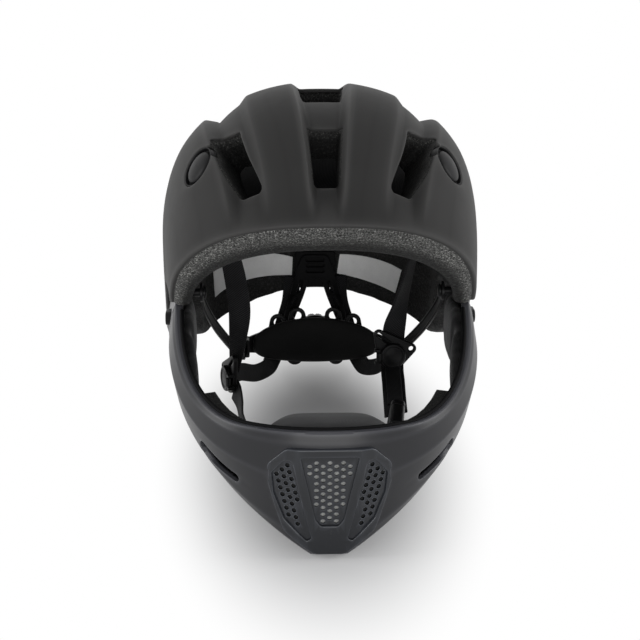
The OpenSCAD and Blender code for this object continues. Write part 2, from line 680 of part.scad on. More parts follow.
// Way of the arm from the temple (share 1 across) to the sleeve (share 0)
arm_way = [[1, -39, 128.4], [0.93, -26, 117], [0.735, -8, 102], [0.53, 8, 90], [0.306, 26, 78],
           [0.122, 42, 69], [0.02, 54, 64.5], [0, 64, cradle_z], [0, 84 + ring_travel, cradle_z]];
arm_route = [for (q = arm_way) [mix(sleeve_x, temple_x, q[0]), q[1], q[2]]];
module ring_arm() {
    difference() {
        translate([pin_mid[0] - arm_t / 2, pin_mid[1], pin_mid[2]]) rotate([0, 90, 0])
            cylinder(r = pin_r + 3.5, h = arm_t, $fn = 24);
        translate([pin_mid[0] - arm_t, pin_mid[1], pin_mid[2]]) rotate([0, 90, 0])
            cylinder(r = pin_r + pin_gap, h = 2 * arm_t, $fn = 24);
    }
    strap(arm_route, [for (q = arm_route) [0, 0.45, 1]], arm_h, arm_t, 2);
}
module ring_arm_right() { color(trim_colour) leaned_back() ring_arm(); }
module ring_arm_left() { color(trim_colour) leaned_back() mirror([1, 0, 0]) ring_arm(); }

// Cradle: a curved frame behind the head, with slotted ends for the arms
cradle_r = 75;
cradle_back_y = 99;
cradle_wall = 3;
cradle_mid_y = cradle_back_y - cradle_r;
cradle_half_deg = asin(cradle_w / 2 / cradle_r);
function lens_half_h(u, h) = h / 2 * (1 - 0.62 * u * u) - 1.5 * (1 - u * u) * u * u;
cradle_steps = 10;
// Lens outline of the cradle, seen from the front
module cradle_outline(h) {
    top = [for (i = [-cradle_steps:cradle_steps]) let (u = i / cradle_steps)
        [cradle_w / 2 * u, lens_half_h(abs(u), h)]];
    polygon(concat(top, [for (i = [len(top) - 1:-1:0]) [top[i][0], -top[i][1]]]));
}
module cradle_frame() {
    intersection() {
        translate([0, cradle_mid_y, cradle_z]) difference() {
            cylinder(r = cradle_r + cradle_wall, h = cradle_h + 4, center = true, $fn = 44);
            cylinder(r = cradle_r + 0.3, h = cradle_h + 6, center = true, $fn = 44);
        }
        translate([0, cradle_back_y + 20, cradle_z]) rotate([90, 0, 0])
            linear_extrude(cradle_r) cradle_outline(cradle_h - 8);
    }
}
// Loops on the frame that the straps and the hanger's tips pass through:
// place across, height and the side on which the frame lies
loop_t = 2.4;
loop_r = 6;
loop_hole_r = 3;
rear_loops = [[15, loop_bottom_z + loop_r, 1], [27, cradle_z + 13.4, -1], [13, cradle_z + 17.2, -1]];
function loop_y_at(x) = cradle_mid_y + sqrt(pow(cradle_r + cradle_wall, 2) - x * x);
module rear_loop(q) {
    hull() {
        translate([q[0], loop_y_at(q[0]), q[1]]) rotate([90, 0, 0]) cylinder(r = loop_r, h = loop_t, $fn = 16);
        translate([q[0], loop_y_at(q[0]) - loop_t / 2, q[1] + q[2] * loop_r])
            cube([2 * loop_r + 3, loop_t, 1], center = true);
    }
}
module rear_loop_hole(q) {
    translate([q[0], loop_y_at(q[0]) + 2, q[1]]) rotate([90, 0, 0]) cylinder(r = loop_hole_r, h = 8, $fn = 16);
}
dial_shaft_r = 3;
housing_back_y = 104.5;
sleeve_y = 71;
module rear_cradle() {
    color(trim_colour) stood_flat() difference() {
        union() {
            cradle_frame();
            // Dial housing
            translate([0, housing_back_y, cradle_z]) rotate([90, 0, 0])
                cylinder(d = dial_d + 3, h = 5.5, $fn = 32);
            at_both_sides() {
                for (q = rear_loops) rear_loop(q);
                // Sleeve that the ring arm runs in
                hull() for (d = [0, 0.8])
                    translate([sleeve_x - 3.4 + d, sleeve_y - 0.8 + d, cradle_z - arm_h / 2 - 2 + d])
                        cube([6.8 - 2 * d, 14.6 - 2 * d, arm_h + 4 - 2 * d]);
            }
        }
        at_both_sides() for (q = rear_loops) rear_loop_hole(q);
        // Bore for the dial's shaft and recess for the toothed wheel
        translate([0, housing_back_y + 6, cradle_z]) rotate([90, 0, 0])
            cylinder(r = dial_shaft_r + pin_gap, h = 16, $fn = 32);
        translate([0, pinion_y + 1.8, cradle_z]) rotate([90, 0, 0]) cylinder(r = 7.6, h = 12, $fn = 32);
        for (m = [-1, 1])
            translate([m * sleeve_x - arm_t / 2 - 0.3, sleeve_y - 9, cradle_z - arm_h / 2 - 0.4])
                cube([arm_t + 0.6, 34, arm_h + 0.8]);
    }
}
// Lens-shaped pad on the cradle, crowned towards the head
module cradle_pad() {
    color(web_colour) leaned_back()
        loft([for (i = [-cradle_steps:cradle_steps])
            let (u = i / cradle_steps * 0.85, g = u * cradle_half_deg, hh = lens_half_h(abs(u), cradle_h),
                 t = 6.5 - 3 * u * u)
            [for (k = [0:7]) let (q = k * 45, o = -seat_gap - t * (0.5 + 0.5 * cos(q)))
                [(cradle_r + o) * sin(g), cradle_mid_y + (cradle_r + o) * cos(g),
                 cradle_z + hh * sin(q) * (1 - 0.1 * cos(q))]]]);
}
pinion_y = 99.4;
dial_notches = 16;
module adjuster_dial() {
    color(trim_colour) leaned_back() {
        difference() {
            translate([0, housing_back_y + 0.4, cradle_z]) rotate([-90, 0, 0])
                cylinder(d = dial_d, h = dial_t, $fn = 32);
            for (i = [0:dial_notches - 1])
                translate([0, housing_back_y, cradle_z]) rotate([-90, i * 360 / dial_notches, 0])
                    translate([dial_d / 2 + 0.6, 0, 0]) cylinder(d = 3, h = 20, $fn = 6);
        }
        translate([0, housing_back_y + 1, cradle_z]) rotate([90, 0, 0])
            cylinder(r = dial_shaft_r, h = housing_back_y + 1 - pinion_y, $fn = 32);
    }
}
// Toothed wheel on the dial's shaft that draws the arms in
module dial_pinion() {
    color("silver") leaned_back() translate([0, pinion_y + 1.2, cradle_z]) rotate([90, 0, 0])
        difference() {
            linear_extrude(1.2) polygon([for (i = [0:31]) let (r = i % 4 < 2 ? 7 : 5.6)
                r * [cos(i * 11.25), sin(i * 11.25)]]);
            translate([0, 0, -1]) cylinder(r = dial_shaft_r, h = 4, $fn = 32);
        }
}
// Block on the rear wall of the foam and the fork that hangs the cradle
anchor_w = 29;
module rear_anchor() {
    color(trim_colour) leaned_back() {
        translate([-anchor_w / 2, 104, 109.6]) cube([anchor_w, 4, 17.4]);
        translate([-10, 104, 101]) cube([20, 4, 8.6]);
    }
}
hanger_t = 2.2;
module rear_hanger() {
    color(trim_colour) leaned_back() {
        translate([-9, 101.6, 114]) cube([18, hanger_t, 11]);
        for (m = [-1, 1])
            strap([[m * 5, 102.7, 120], [m * 7, 102.7, 108], [m * 12, 102.5, 96], [m * 17, 102.4, 88],
                   [m * 19, 102.4, 78]],
                  [for (i = [0:4]) [1, 0, 0.3]], 8, hanger_t, 2);
    }
}

// Straps and their fittings. Routes run from the anchors to the dividers
front_route = [[temple_x - 13.2, -35, 184.9], [temple_x - 13, -32, 165], [temple_x - 14.5, -22, 140], [56, -8, 115], [50.5, -1.6, 97],
               [48, -1.3, 84]];
front_wide = [[0.5, 1, 0], [0.5, 1, 0], [0.5, 1, 0], [0.7, 0.7, 0], [1, 0.15, 0], [1, 0.1, 0]];
front_left_route = [[13.2 - temple_x, -35, 184.9], [13 - temple_x, -32, 165], [14 - temple_x, -24, 140], [-59, -17, 115],
                    [-57.2, -13.5, 95], [-56.5, -12.2, 73]];
rear_route = [[16.6, 107, 108], [18, 107.4, 90], [23, 110, 72], [27.5, 107.5, 55], [32, 94, 48], [35, 70, 50],
              [42, 36, 61], [47.4, 8, 78], [47.8, 0.4, 80]];
rear_left_route = [[-16.6, 107, 108], [-18, 107.4, 90], [-23, 110, 72], [-27.5, 107.5, 55], [-32, 94, 48],
                   [-35, 70, 50], [-43, 36, 56], [-51.8, 4, 66], [-55.3, -9.5, 68]];
module front_strap_right() {
    color(web_colour) leaned_back() strap(front_route, front_wide, strap_w, strap_t);
}
module front_strap_left() {
    color(web_colour) leaned_back()
        strap(front_left_route, [for (q = front_left_route) [0.35, -1, 0]], strap_w, strap_t);
}
function rear_wide(m) = [[1, 0, 0], [1, 0, 0], [1, 0, 0], [1, 0, 0], [0.9, 0, 0.4 * m], [0.5, 0, 0.9 * m],
                         [0.2, 0, m], [0, 0, m], [0, 0, m]];
module rear_strap_right() {
    color(web_colour) leaned_back() strap(rear_route, rear_wide(1), strap_w - 3, strap_t);
}
module rear_strap_left() {
    color(web_colour) leaned_back() strap(rear_left_route, rear_wide(-1), strap_w - 3, strap_t);
}
module strap_anchor_block(gap) {
    translate([temple_x - 12.5, -33, 190]) rotate([0, 0, 62])
        cube([18 + 2 * gap, 4 + 2 * gap, 8 + 2 * gap], center = true);
}
module strap_anchor() { strap_anchor_block(0); }
module strap_anchor_right() { color(trim_colour) leaned_back() strap_anchor(); }
module strap_anchor_left() { color(trim_colour) leaned_back() mirror([1, 0, 0]) strap_anchor(); }

// Divider: teardrop body with a round lever that clamps the straps
divider_t = 3;
clamp_r = 8.5;
clamp_t = 3;
divider_r_mid = [47.5, -4, 79];
divider_l_mid = [-59, -13, 67];
clamp_pin_x = -clamp_r - 1.3;
clamp_pin_y = -4.6;
clamp_pin_r = 0.8;
clamp_lug = 2.9;
module divider_plate() {
    rotate([90, 0, 0]) linear_extrude(divider_t, center = true) difference() {
        hull() {
            circle(r = clamp_r + 1.5, $fn = 28);
            translate([-9, 14]) circle(r = 3.5, $fn = 16);
            translate([12.5, 4]) circle(r = 3.5, $fn = 16);
        }
        translate([12.5, 4]) circle(r = 1.6, $fn = 16);
        translate([-6, 11.5]) rotate(-40) square([strap_w - 4, 2.4], center = true);
    }
    // Two lugs and the pin that the clamp turns on
    for (m = [-1, 1])
        translate([clamp_pin_x, (clamp_pin_y - 1.5) / 2, m * (clamp_lug + 1.2)])
            cube([2.4, 4.7, 2], center = true);
    translate([clamp_pin_x, clamp_pin_y, 0]) cylinder(r = clamp_pin_r, h = 2 * clamp_lug + 3, center = true, $fn = 24);
}
module divider_clamp() {
    translate([0, -divider_t / 2 - seat_gap, 0]) rotate([90, 0, 0])
        rotate_extrude($fn = 28) polygon([[0, 0], [clamp_r, 0], [clamp_r, clamp_t - 1],
                                          [clamp_r - 1, clamp_t], [0, clamp_t - 0.5]]);
    difference() {
        union() {
            translate([clamp_pin_x, clamp_pin_y, 0])
                cylinder(r = clamp_pin_r + 0.8, h = 2 * clamp_lug - 0.2, center = true, $fn = 24);
            translate([clamp_pin_x + 1.6, clamp_pin_y + 0.8, 0])
                cube([3, 1.4, 2 * clamp_lug - 0.2], center = true);
        }
        translate([clamp_pin_x, clamp_pin_y, 0])
            cylinder(r = clamp_pin_r + pin_gap, h = 2 * clamp_lug + 4, center = true, $fn = 24);
    }
}
module in_divider_right() { translate(divider_r_mid) rotate([0, 0, 6]) children(); }
module in_divider_left() {
    translate(divider_l_mid) rotate([0, 0, -72]) mirror([1, 0, 0]) children();
}
module strap_divider_right() { color(trim_colour) leaned_back() in_divider_right() divider_plate(); }
module strap_divider_left() { color(trim_colour) leaned_back() in_divider_left() divider_plate(); }
module divider_clamp_right() { color(trim_colour) leaned_back() in_divider_right() divider_clamp(); }
module divider_clamp_left() { color(trim_colour) leaned_back() in_divider_left() divider_clamp(); }

// Chin strap, closed by a side-release buckle at the right
buckle_mid = [43.5, -76, 52.5];
buckle_axis = unit([5, 40, 7]);
module along_buckle() {
    translate(buckle_mid) toward(buckle_axis) rotate([0, 0, 100]) children();
}
chin_left_route = [[-56.3, -12.5, 59], [-53.5, -22, 56], [-51.8, -38, 52], [-51, -60, 49], [-46, -84, 49], [-32, -102, 50],
                   [-8, -110, 50], [16, -111, 49.5], [33, -106, 49], [40.4, -98.6, 48.8]];
chin_right_route = [[45.7, -59.6, 55.4], [46.5, -38, 60], [47.2, -20, 65], [47.5, -6, 67.6]];
module chin_strap_left() {
    color(web_colour) leaned_back()
        strap(chin_left_route, [for (q = chin_left_route) [0.1, 0.15, 1]], strap_w, strap_t);
}
module chin_strap_right() {
    color(web_colour) leaned_back()
        strap(chin_right_route, [for (q = chin_right_route) [1, 0, 0.3]], strap_w, strap_t);
}
module buckle_socket() {
    color(trim_colour) leaned_back() along_buckle() difference() {
        hull() for (x = [-1, 1], y = [-1, 1])
            translate([x * (buckle_t / 2 - 2), y * (buckle_w / 2 - 2), 0])
                cylinder(r = 2, h = buckle_l, center = true, $fn = 24);
        translate([0, 0, -4]) cube([buckle_t - 3.6, buckle_w - 4, buckle_l], center = true);
    }
}
module buckle_plug() {
    color(trim_colour) leaned_back() along_buckle() {
        translate([0, 0, -buckle_l / 2 - 3]) hull() for (x = [-1, 1], y = [-1, 1])
            translate([x * (buckle_t / 2 - 2), y * (buckle_w / 2 - 2), 0])
                cylinder(r = 2, h = 5, center = true, $fn = 24);
        translate([0, 0, -4.75]) cube([3, 5, 22.5], center = true);
    }
}
// Sprung prongs of the plug
module buckle_prongs() {
    color(trim_colour) leaned_back() along_buckle() for (m = [-1, 1])
        translate([0, m * 7.2, -4.9]) cube([3, 3, 19.8], center = true);
}
module strap_tail() {
    color(web_colour) leaned_back()
        strap([[46.2, -48, 60.2], [46.7, -38, 62.4], [47.2, -28, 65.3]], [for (i = [0:2]) [1, 0, 0.3]], strap_w - 5, strap_t);
}

outer_shell();
foam_liner();
visor_cap_left();
visor_cap_right();
brow_pad();
crown_pad();
chin_bar();
chin_bar_foam();
chin_grille();
grille_filter();
chin_pad();
cheek_pad_left();
cheek_pad_right();
latch_socket_left();
latch_socket_right();
latch_clip_left();
latch_clip_right();
release_button_left();
release_button_right();
button_spring_left();
button_spring_right();
ring_pin_left();
ring_pin_right();
ring_arm_left();
ring_arm_right();
rear_cradle();
cradle_pad();
adjuster_dial();
dial_pinion();
rear_anchor();
rear_hanger();
strap_anchor_left();
strap_anchor_right();
front_strap_left();
front_strap_right();
rear_strap_left();
rear_strap_right();
strap_divider_left();
strap_divider_right();
divider_clamp_left();
divider_clamp_right();
chin_strap_left();
chin_strap_right();
buckle_socket();
buckle_plug();
buckle_prongs();
strap_tail();
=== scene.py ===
"""Looks of a full face helmet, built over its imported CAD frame.

Every shape is worked out upright and in millimetres, then leaned back onto
the surface in one step, so each piece lies where its CAD node lies.
"""

import json
import logging
import math
from collections.abc import Callable, Iterator
from contextlib import contextmanager
from dataclasses import dataclass
from enum import Enum

import bmesh
import bpy
import numpy as np
from mathutils import Matrix, Vector

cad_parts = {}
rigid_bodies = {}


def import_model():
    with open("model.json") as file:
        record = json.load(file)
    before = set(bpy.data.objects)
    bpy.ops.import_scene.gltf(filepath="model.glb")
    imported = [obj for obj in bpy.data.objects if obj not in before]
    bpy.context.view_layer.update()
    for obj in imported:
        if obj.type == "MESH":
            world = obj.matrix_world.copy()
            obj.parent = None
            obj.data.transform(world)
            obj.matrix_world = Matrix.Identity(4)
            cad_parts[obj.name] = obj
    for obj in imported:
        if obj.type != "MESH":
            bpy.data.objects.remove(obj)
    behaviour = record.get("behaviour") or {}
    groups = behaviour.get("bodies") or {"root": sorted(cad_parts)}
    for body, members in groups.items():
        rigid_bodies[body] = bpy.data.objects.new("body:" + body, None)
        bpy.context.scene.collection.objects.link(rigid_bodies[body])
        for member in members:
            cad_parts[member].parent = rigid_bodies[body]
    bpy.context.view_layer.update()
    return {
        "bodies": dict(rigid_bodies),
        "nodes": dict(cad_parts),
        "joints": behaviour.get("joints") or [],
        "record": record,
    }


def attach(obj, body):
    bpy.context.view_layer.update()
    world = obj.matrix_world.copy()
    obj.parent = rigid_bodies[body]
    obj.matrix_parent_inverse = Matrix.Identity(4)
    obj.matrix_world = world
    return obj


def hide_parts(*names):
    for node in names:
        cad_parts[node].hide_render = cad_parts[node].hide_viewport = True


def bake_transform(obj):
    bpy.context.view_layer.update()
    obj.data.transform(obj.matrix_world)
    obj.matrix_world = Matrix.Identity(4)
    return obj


log = logging.getLogger("helmet")
MM = 0.001
SIDES = ((1, "right"), (-1, "left"))
Points = np.ndarray


# Small maths shared by the pieces


def mix(a, b, t):
    """Value between a and b at share t."""
    return a + (b - a) * t


def ease(t):
    """Share t from 0 to 1 with a soft start and end."""
    u = np.clip(t, 0, 1)
    return u * u * (3 - 2 * u)


def unit(v: Points) -> Points:
    """Vectors of length one in the directions of v."""
    v = np.asarray(v, float)
    return v / np.maximum(np.linalg.norm(v, axis=-1, keepdims=True), 1e-12)


def around(count: int) -> Points:
    """Angles of even steps round a circle."""
    return np.linspace(0, 2 * math.pi, count, endpoint=False)


def squarer(wave: Points, power: float) -> Points:
    """Sine or cosine drawn towards a square, sign kept."""
    return np.sign(wave) * np.abs(wave) ** power


def smooth_at(stations: Points, a: Points, column: int) -> Points:
    """Smooth curve through stations.

    Args:
        stations: rows that start with their place on the curve.
        a: places to read.
        column: column of the stations to read.

    Returns:
        The curve's values at a.
    """
    st, a = np.asarray(stations, float), np.asarray(a, float)
    x, y = st[:, 0], st[:, column]
    slope = np.empty(len(st))
    slope[1:-1] = (y[2:] - y[:-2]) / (x[2:] - x[:-2])
    slope[[0, -1]] = (y[1] - y[0]) / (x[1] - x[0]), (y[-1] - y[-2]) / (x[-1] - x[-2])
    k = np.clip(np.searchsorted(x, a, side="right") - 1, 0, len(st) - 2)
    h = x[k + 1] - x[k]
    t = (a - x[k]) / h
    return (
        (1 + 2 * t) * (1 - t) ** 2 * y[k]
        + t * (1 - t) ** 2 * h * slope[k]
        + t * t * (3 - 2 * t) * y[k + 1]
        + t * t * (t - 1) * h * slope[k + 1]
    )


def smooth_route(route: Points, spacing: float) -> Points:
    """Curve through the points of a route, sampled evenly.

    Args:
        route: points to pass through.
        spacing: distance between samples, in the route's unit.

    Returns:
        The samples, with the route's first and last point at the ends.
    """
    r = np.asarray(route, float)
    n = len(r) - 1
    t = np.linspace(0, 1, 24, endpoint=False)[:, None]
    fine = []
    for i in range(n):
        p0, p1, p2, p3 = r[max(i - 1, 0)], r[i], r[i + 1], r[min(i + 2, n)]
        square, cube = 2 * p0 - 5 * p1 + 4 * p2 - p3, 3 * p1 - p0 - 3 * p2 + p3
        fine.append(0.5 * (2 * p1 + (p2 - p0) * t + square * t**2 + cube * t**3))
    return resample(np.vstack(fine + [r[-1:]]), spacing)


def travelled(line: Points) -> Points:
    """Distance along a line at each of its points."""
    return np.r_[0, np.cumsum(np.linalg.norm(np.diff(line[:, :3], axis=0), axis=1))]


def resample(line: Points, spacing: float) -> Points:
    """Evenly spaced points along a line; extra columns go with the first three."""
    length = travelled(line)
    count = max(int(round(length[-1] / spacing)), 2)
    at = np.linspace(0, length[-1], count + 1)
    return np.stack([np.interp(at, length, line[:, c]) for c in range(line.shape[1])], 1)


def round_corners(outline: Points, radius: float, steps: int = 5, closed: bool = True) -> Points:
    """Outline with its corners replaced by arcs.

    Args:
        outline: corner points.
        radius: how far each arc starts from its corner.
        steps: pieces of each arc.
        closed: whether the last point joins the first.

    Returns:
        The points of the rounded outline.
    """
    pts = np.asarray(outline, float)
    out = []
    n = len(pts)
    t = np.linspace(0, 1, steps + 1)[:, None]
    for i in range(n):
        if not closed and i in (0, n - 1):
            out.append(pts[i : i + 1])
            continue
        a, b, c = pts[i - 1], pts[i], pts[(i + 1) % n]
        p, q = (b + unit(end - b) * min(radius, np.linalg.norm(end - b) * 0.48) for end in (a, c))
        out.append((1 - t) ** 2 * p + 2 * t * (1 - t) * b + t**2 * q)
    return np.vstack(out)


def slab(half_x: float, half_y: float, radius: float, steps: int = 4) -> Points:
    """Outline of a rectangle about the origin with rounded corners."""
    corners = [(-half_x, -half_y), (half_x, -half_y), (half_x, half_y), (-half_x, half_y)]
    return round_corners(corners, radius, steps)


def mirrored_twice(quarter: list, middle: list | None = None) -> Points:
    """Outline from its upper right quarter and what lies at the middle of its top."""
    half = quarter + (middle or []) + [(-x, y) for x, y in quarter[::-1]]
    return np.array(half + [(-x, -y) for x, y in half])


def distance_to_outline(points: Points, outline: Points) -> Points:
    """Signed distance from an outline in a plane, positive outside it."""
    best = np.full(len(points), np.inf)
    inside = np.zeros(len(points), bool)
    for a, b in zip(outline, np.roll(outline, -1, 0)):
        ab, ap = b - a, points - a
        t = np.clip(ap @ ab / max(ab @ ab, 1e-12), 0, 1)
        best = np.minimum(best, np.linalg.norm(ap - t[:, None] * ab, axis=1))
        crosses = (a[1] > points[:, 1]) != (b[1] > points[:, 1])
        rise = b[1] - a[1] if b[1] != a[1] else 1e-12
        where = a[0] + (points[:, 1] - a[1]) * (b[0] - a[0]) / rise
        inside ^= crosses & (points[:, 0] < where)
    return np.where(inside, -best, best)


def beside(points: Points, a: tuple, b: tuple) -> tuple[Points, Points]:
    """Nearest share of the line from a to b for each point, and the distance there."""
    a, b = np.array(a, float), np.array(b, float)
    t = np.clip(((points - a) @ (b - a)) / ((b - a) @ (b - a)), 0, 1)
    return t, np.linalg.norm(points - a - t[..., None] * (b - a), axis=-1)


def steps_of(function: Callable, u: Points, v: Points, hu: float, hv: float = 0.0) -> tuple[Points, Points]:
    """Change of a function for one step of u and for one of v.

    Args:
        function: takes u and v.
        u: first places.
        v: second places.
        hu: half of the difference in u that is measured.
        hv: the same in v, or 0 where it is hu.

    Returns:
        Both changes.
    """
    hv = hv or hu
    along_u = (function(u + hu, v) - function(u - hu, v)) / (2 * hu)
    return along_u, (function(u, v + hv) - function(u, v - hv)) / (2 * hv)


def rising(dp: Points, da: Points, gp: Points, ga: Points) -> Points:
    """Unit direction in a surface along which a function with steps gp and ga rises."""
    e, f, g = (dp * dp).sum(1), (dp * da).sum(1), (da * da).sum(1)
    det = np.maximum(e * g - f * f, 1e-9)
    u, v = (g * gp - f * ga) / det, (e * ga - f * gp) / det
    return unit(u[:, None] * dp + v[:, None] * da)


def circle(radius: float, count: int, centre=(0.0, 0.0)) -> Points:
    """Outline of a circle in a plane."""
    a = around(count)
    return np.c_[centre[0] + radius * np.cos(a), centre[1] + radius * np.sin(a)]


def hull_of_circles(circles: list[tuple[float, float, float]], count: int = 28) -> Points:
    """Outline drawn tight around circles, each given as (x, y, radius)."""
    pts = np.vstack([circle(r, count, (x, y)) for x, y, r in circles])
    pts = pts[np.lexsort((pts[:, 1], pts[:, 0]))]

    def half(rows: Points) -> list[Points]:
        """One side of the outline, from the first row to the last."""
        line: list[Points] = []
        for p in rows:
            while len(line) > 1:
                u, v = line[-1] - line[-2], p - line[-2]
                if u[0] * v[1] - u[1] * v[0] > 1e-9:
                    break
                line.pop()
            line.append(p)
        return line[:-1]

    return np.array(half(pts) + half(pts[::-1]))


def stadium(length: float, height: float) -> Points:
    """Outline of a long round-ended shape, its length along x."""
    half = (length - height) / 2
    return hull_of_circles([(-half, 0, height / 2), (half, 0, height / 2)], 48)


def round_tube(line: Points, radius: float, count: int = 12) -> Points:
    """Rings of a round tube along a line."""
    along = unit(np.gradient(line, axis=0))
    side = unit(np.cross(along, [0.0, 0.0, 1.0]) + [1e-9, 0, 0])
    up = np.cross(side, along)
    a = around(count)[None, :, None]
    return line[:, None] + radius * (np.cos(a) * side[:, None] + np.sin(a) * up[:, None])


@dataclass(frozen=True)
class Stance:
    """How the upright helmet is leaned back onto the surface, in millimetres."""

    loop_bottom: float = 44.0
    chin_to_loops: float = 244.5
    chin_tip: float = 144.0
    flat: float = 0.5
    shift: float = -3.2

    @property
    def lean(self) -> float:
        """Angle of the lean."""
        return math.atan(self.loop_bottom / self.chin_to_loops)

    def turn(self, vectors: Points) -> Points:
        """Directions as they lie on the leaned helmet."""
        c, s = math.cos(self.lean), math.sin(self.lean)
        return np.asarray(vectors, float) @ np.array([[1, 0, 0], [0, c, s], [0, -s, c]]).T

    def place(self, points: Points) -> Points:
        """Upright points in millimetres, leaned back and in metres."""
        drop = self.chin_tip * math.sin(self.lean) + self.flat
        out = (self.turn(points) + [0, self.shift, -drop]) * MM
        out[..., 2] = np.maximum(out[..., 2], 0)
        return out


STANCE = Stance()


@dataclass(frozen=True)
class Axes:
    """A place on the helmet and three directions there."""

    origin: tuple[float, float, float]
    x: tuple[float, float, float] = (1, 0, 0)
    y: tuple[float, float, float] = (0, 1, 0)
    z: tuple[float, float, float] = (0, 0, 1)

    def put(self, points: Points) -> Points:
        """Local points as upright points of the helmet."""
        directions = np.array([self.x, self.y, self.z], float)
        return np.asarray(points, float) @ directions + np.array(self.origin, float)

    def local(self, points: Points) -> Points:
        """Upright points as local ones."""
        return (points - np.array(self.origin)) @ np.array([self.x, self.y, self.z]).T

    def moved(self, *by: float) -> "Axes":
        """The same directions at another local place."""
        return Axes(tuple(self.put(by)), self.x, self.y, self.z)

    @staticmethod
    def toward(origin: Points, z: Points, x: Points) -> "Axes":
        """Axes at origin whose third points along z and whose first is near x."""
        z = unit(z)
        x = unit(x - z * float(np.dot(x, z)))
        return Axes(tuple(origin), tuple(x), tuple(np.cross(z, x)), tuple(z))


# Directions of flat pieces: seen from the front, from the rear and from the side
FRONTAL = ((1, 0, 0), (0, 0, 1), (0, 1, 0))
REARWARD = ((1, 0, 0), (0, 0, -1), (0, 1, 0))
SIDEWAYS = ((0, 1, 0), (0, 0, 1), (1, 0, 0))


# Meshes


def placed(name: str, data: bpy.types.ID) -> bpy.types.Object:
    """A new object in the scene."""
    obj = bpy.data.objects.new(name, data)
    bpy.context.scene.collection.objects.link(obj)
    return obj


def modify(obj: bpy.types.Object, kind: str, **settings) -> bpy.types.Modifier:
    """Adds a modifier and its settings."""
    made = obj.modifiers.new(kind.lower(), kind)
    for key, value in settings.items():
        setattr(made, key, value)
    return made


def evaluated(obj: bpy.types.Object) -> bpy.types.Mesh:
    """A copy of what an object's modifiers or its curve make."""
    bpy.context.view_layer.update()
    graph = bpy.context.evaluated_depsgraph_get()
    shown = obj.evaluated_get(graph)
    return bpy.data.meshes.new_from_object(shown, preserve_all_data_layers=True, depsgraph=graph)


def baked(obj: bpy.types.Object) -> bpy.types.Object:
    """Applies all modifiers of an object and removes them."""
    mesh, old = evaluated(obj), obj.data
    obj.modifiers.clear()
    obj.data = mesh
    mesh.name = obj.name
    bpy.data.meshes.remove(old)
    return obj


def walled(obj: bpy.types.Object, thick: float) -> bpy.types.Object:
    """Gives a skin a wall inwards, thick in millimetres."""
    modify(obj, "SOLIDIFY", thickness=thick * MM, offset=-1)
    return baked(obj)


def rows_of(data, name: str, width: int = 3, kind: type = np.float32) -> Points:
    """An attribute of a mesh's points, edges or corners, one row each."""
    rows = np.empty(len(data) * width, kind)
    data.foreach_get(name, rows)
    return rows.reshape(-1, width)


@contextmanager
def editing(obj: bpy.types.Object) -> Iterator[bmesh.types.BMesh]:
    """Opens an object's mesh for changes and writes it back."""
    work = bmesh.new()
    work.from_mesh(obj.data)
    yield work
    work.to_mesh(obj.data)
    work.free()


def face_out(obj: bpy.types.Object) -> bpy.types.Object:
    """Turns all faces of a closed mesh outwards."""
    with editing(obj) as work:
        bmesh.ops.remove_doubles(work, verts=work.verts, dist=1e-7)
        bmesh.ops.recalc_face_normals(work, faces=work.faces)
    return obj


def emptied(work: bmesh.types.BMesh) -> tuple[Points, list[tuple[int, ...]]]:
    """Points and faces of a bmesh, which is freed."""
    work.verts.index_update()
    points = np.array([v.co for v in work.verts], float)
    faces = [tuple(v.index for v in f.verts) for f in work.faces]
    work.free()
    return points, faces


def grid_faces(rows: int, cols: int) -> Points:
    """Quads of a grid of rows by cols points."""
    i = np.arange(rows * cols).reshape(rows, cols)
    return np.stack([i[:-1, :-1], i[:-1, 1:], i[1:, 1:], i[1:, :-1]], -1).reshape(-1, 4)


def plate(outlines: list[Points], thickness: float, bevel: float, steps: int = 3) -> tuple[Points, list]:
    """Flat plate with rounded edges, cut through at its inner outlines.

    Args:
        outlines: the outer outline and those of the holes, in the plate's plane.
        thickness: whole thickness.
        bevel: radius of the edges.
        steps: pieces of each rounded edge.

    Returns:
        Its points, with the plate's middle plane at height zero, and its faces.
    """
    curve = bpy.data.curves.new("plate", "CURVE")
    curve.dimensions, curve.fill_mode = "2D", "BOTH"
    curve.extrude, curve.offset = thickness / 2 - bevel, -bevel
    curve.bevel_depth, curve.bevel_resolution = bevel, steps
    for outline in outlines:
        spline = curve.splines.new("POLY")
        spline.points.add(len(outline) - 1)
        flat = np.c_[outline, np.zeros(len(outline)), np.ones(len(outline))]
        spline.points.foreach_set("co", flat.ravel())
        spline.use_cyclic_u = True
    holder = placed("plate", curve)
    mesh = evaluated(holder)
    work = bmesh.new()
    work.from_mesh(mesh)
    bmesh.ops.remove_doubles(work, verts=work.verts, dist=0.002)
    bmesh.ops.dissolve_degenerate(work, edges=work.edges, dist=0.001)
    bpy.data.objects.remove(holder)
    bpy.data.curves.remove(curve)
    bpy.data.meshes.remove(mesh)
    return emptied(work)


def sliced(points: Points, faces: list, places: Points) -> tuple[Points, list]:
    """Cuts a shape's faces at places along x, so that it can be bent there."""
    work = bmesh.new()
    verts = [work.verts.new(p) for p in points]
    for f in faces:
        try:
            work.faces.new([verts[i] for i in f])
        except ValueError:
            continue
    for place in places:
        every = work.verts[:] + work.edges[:] + work.faces[:]
        bmesh.ops.bisect_plane(work, geom=every, dist=1e-4, plane_co=(float(place), 0, 0), plane_no=(1, 0, 0))
    return emptied(work)


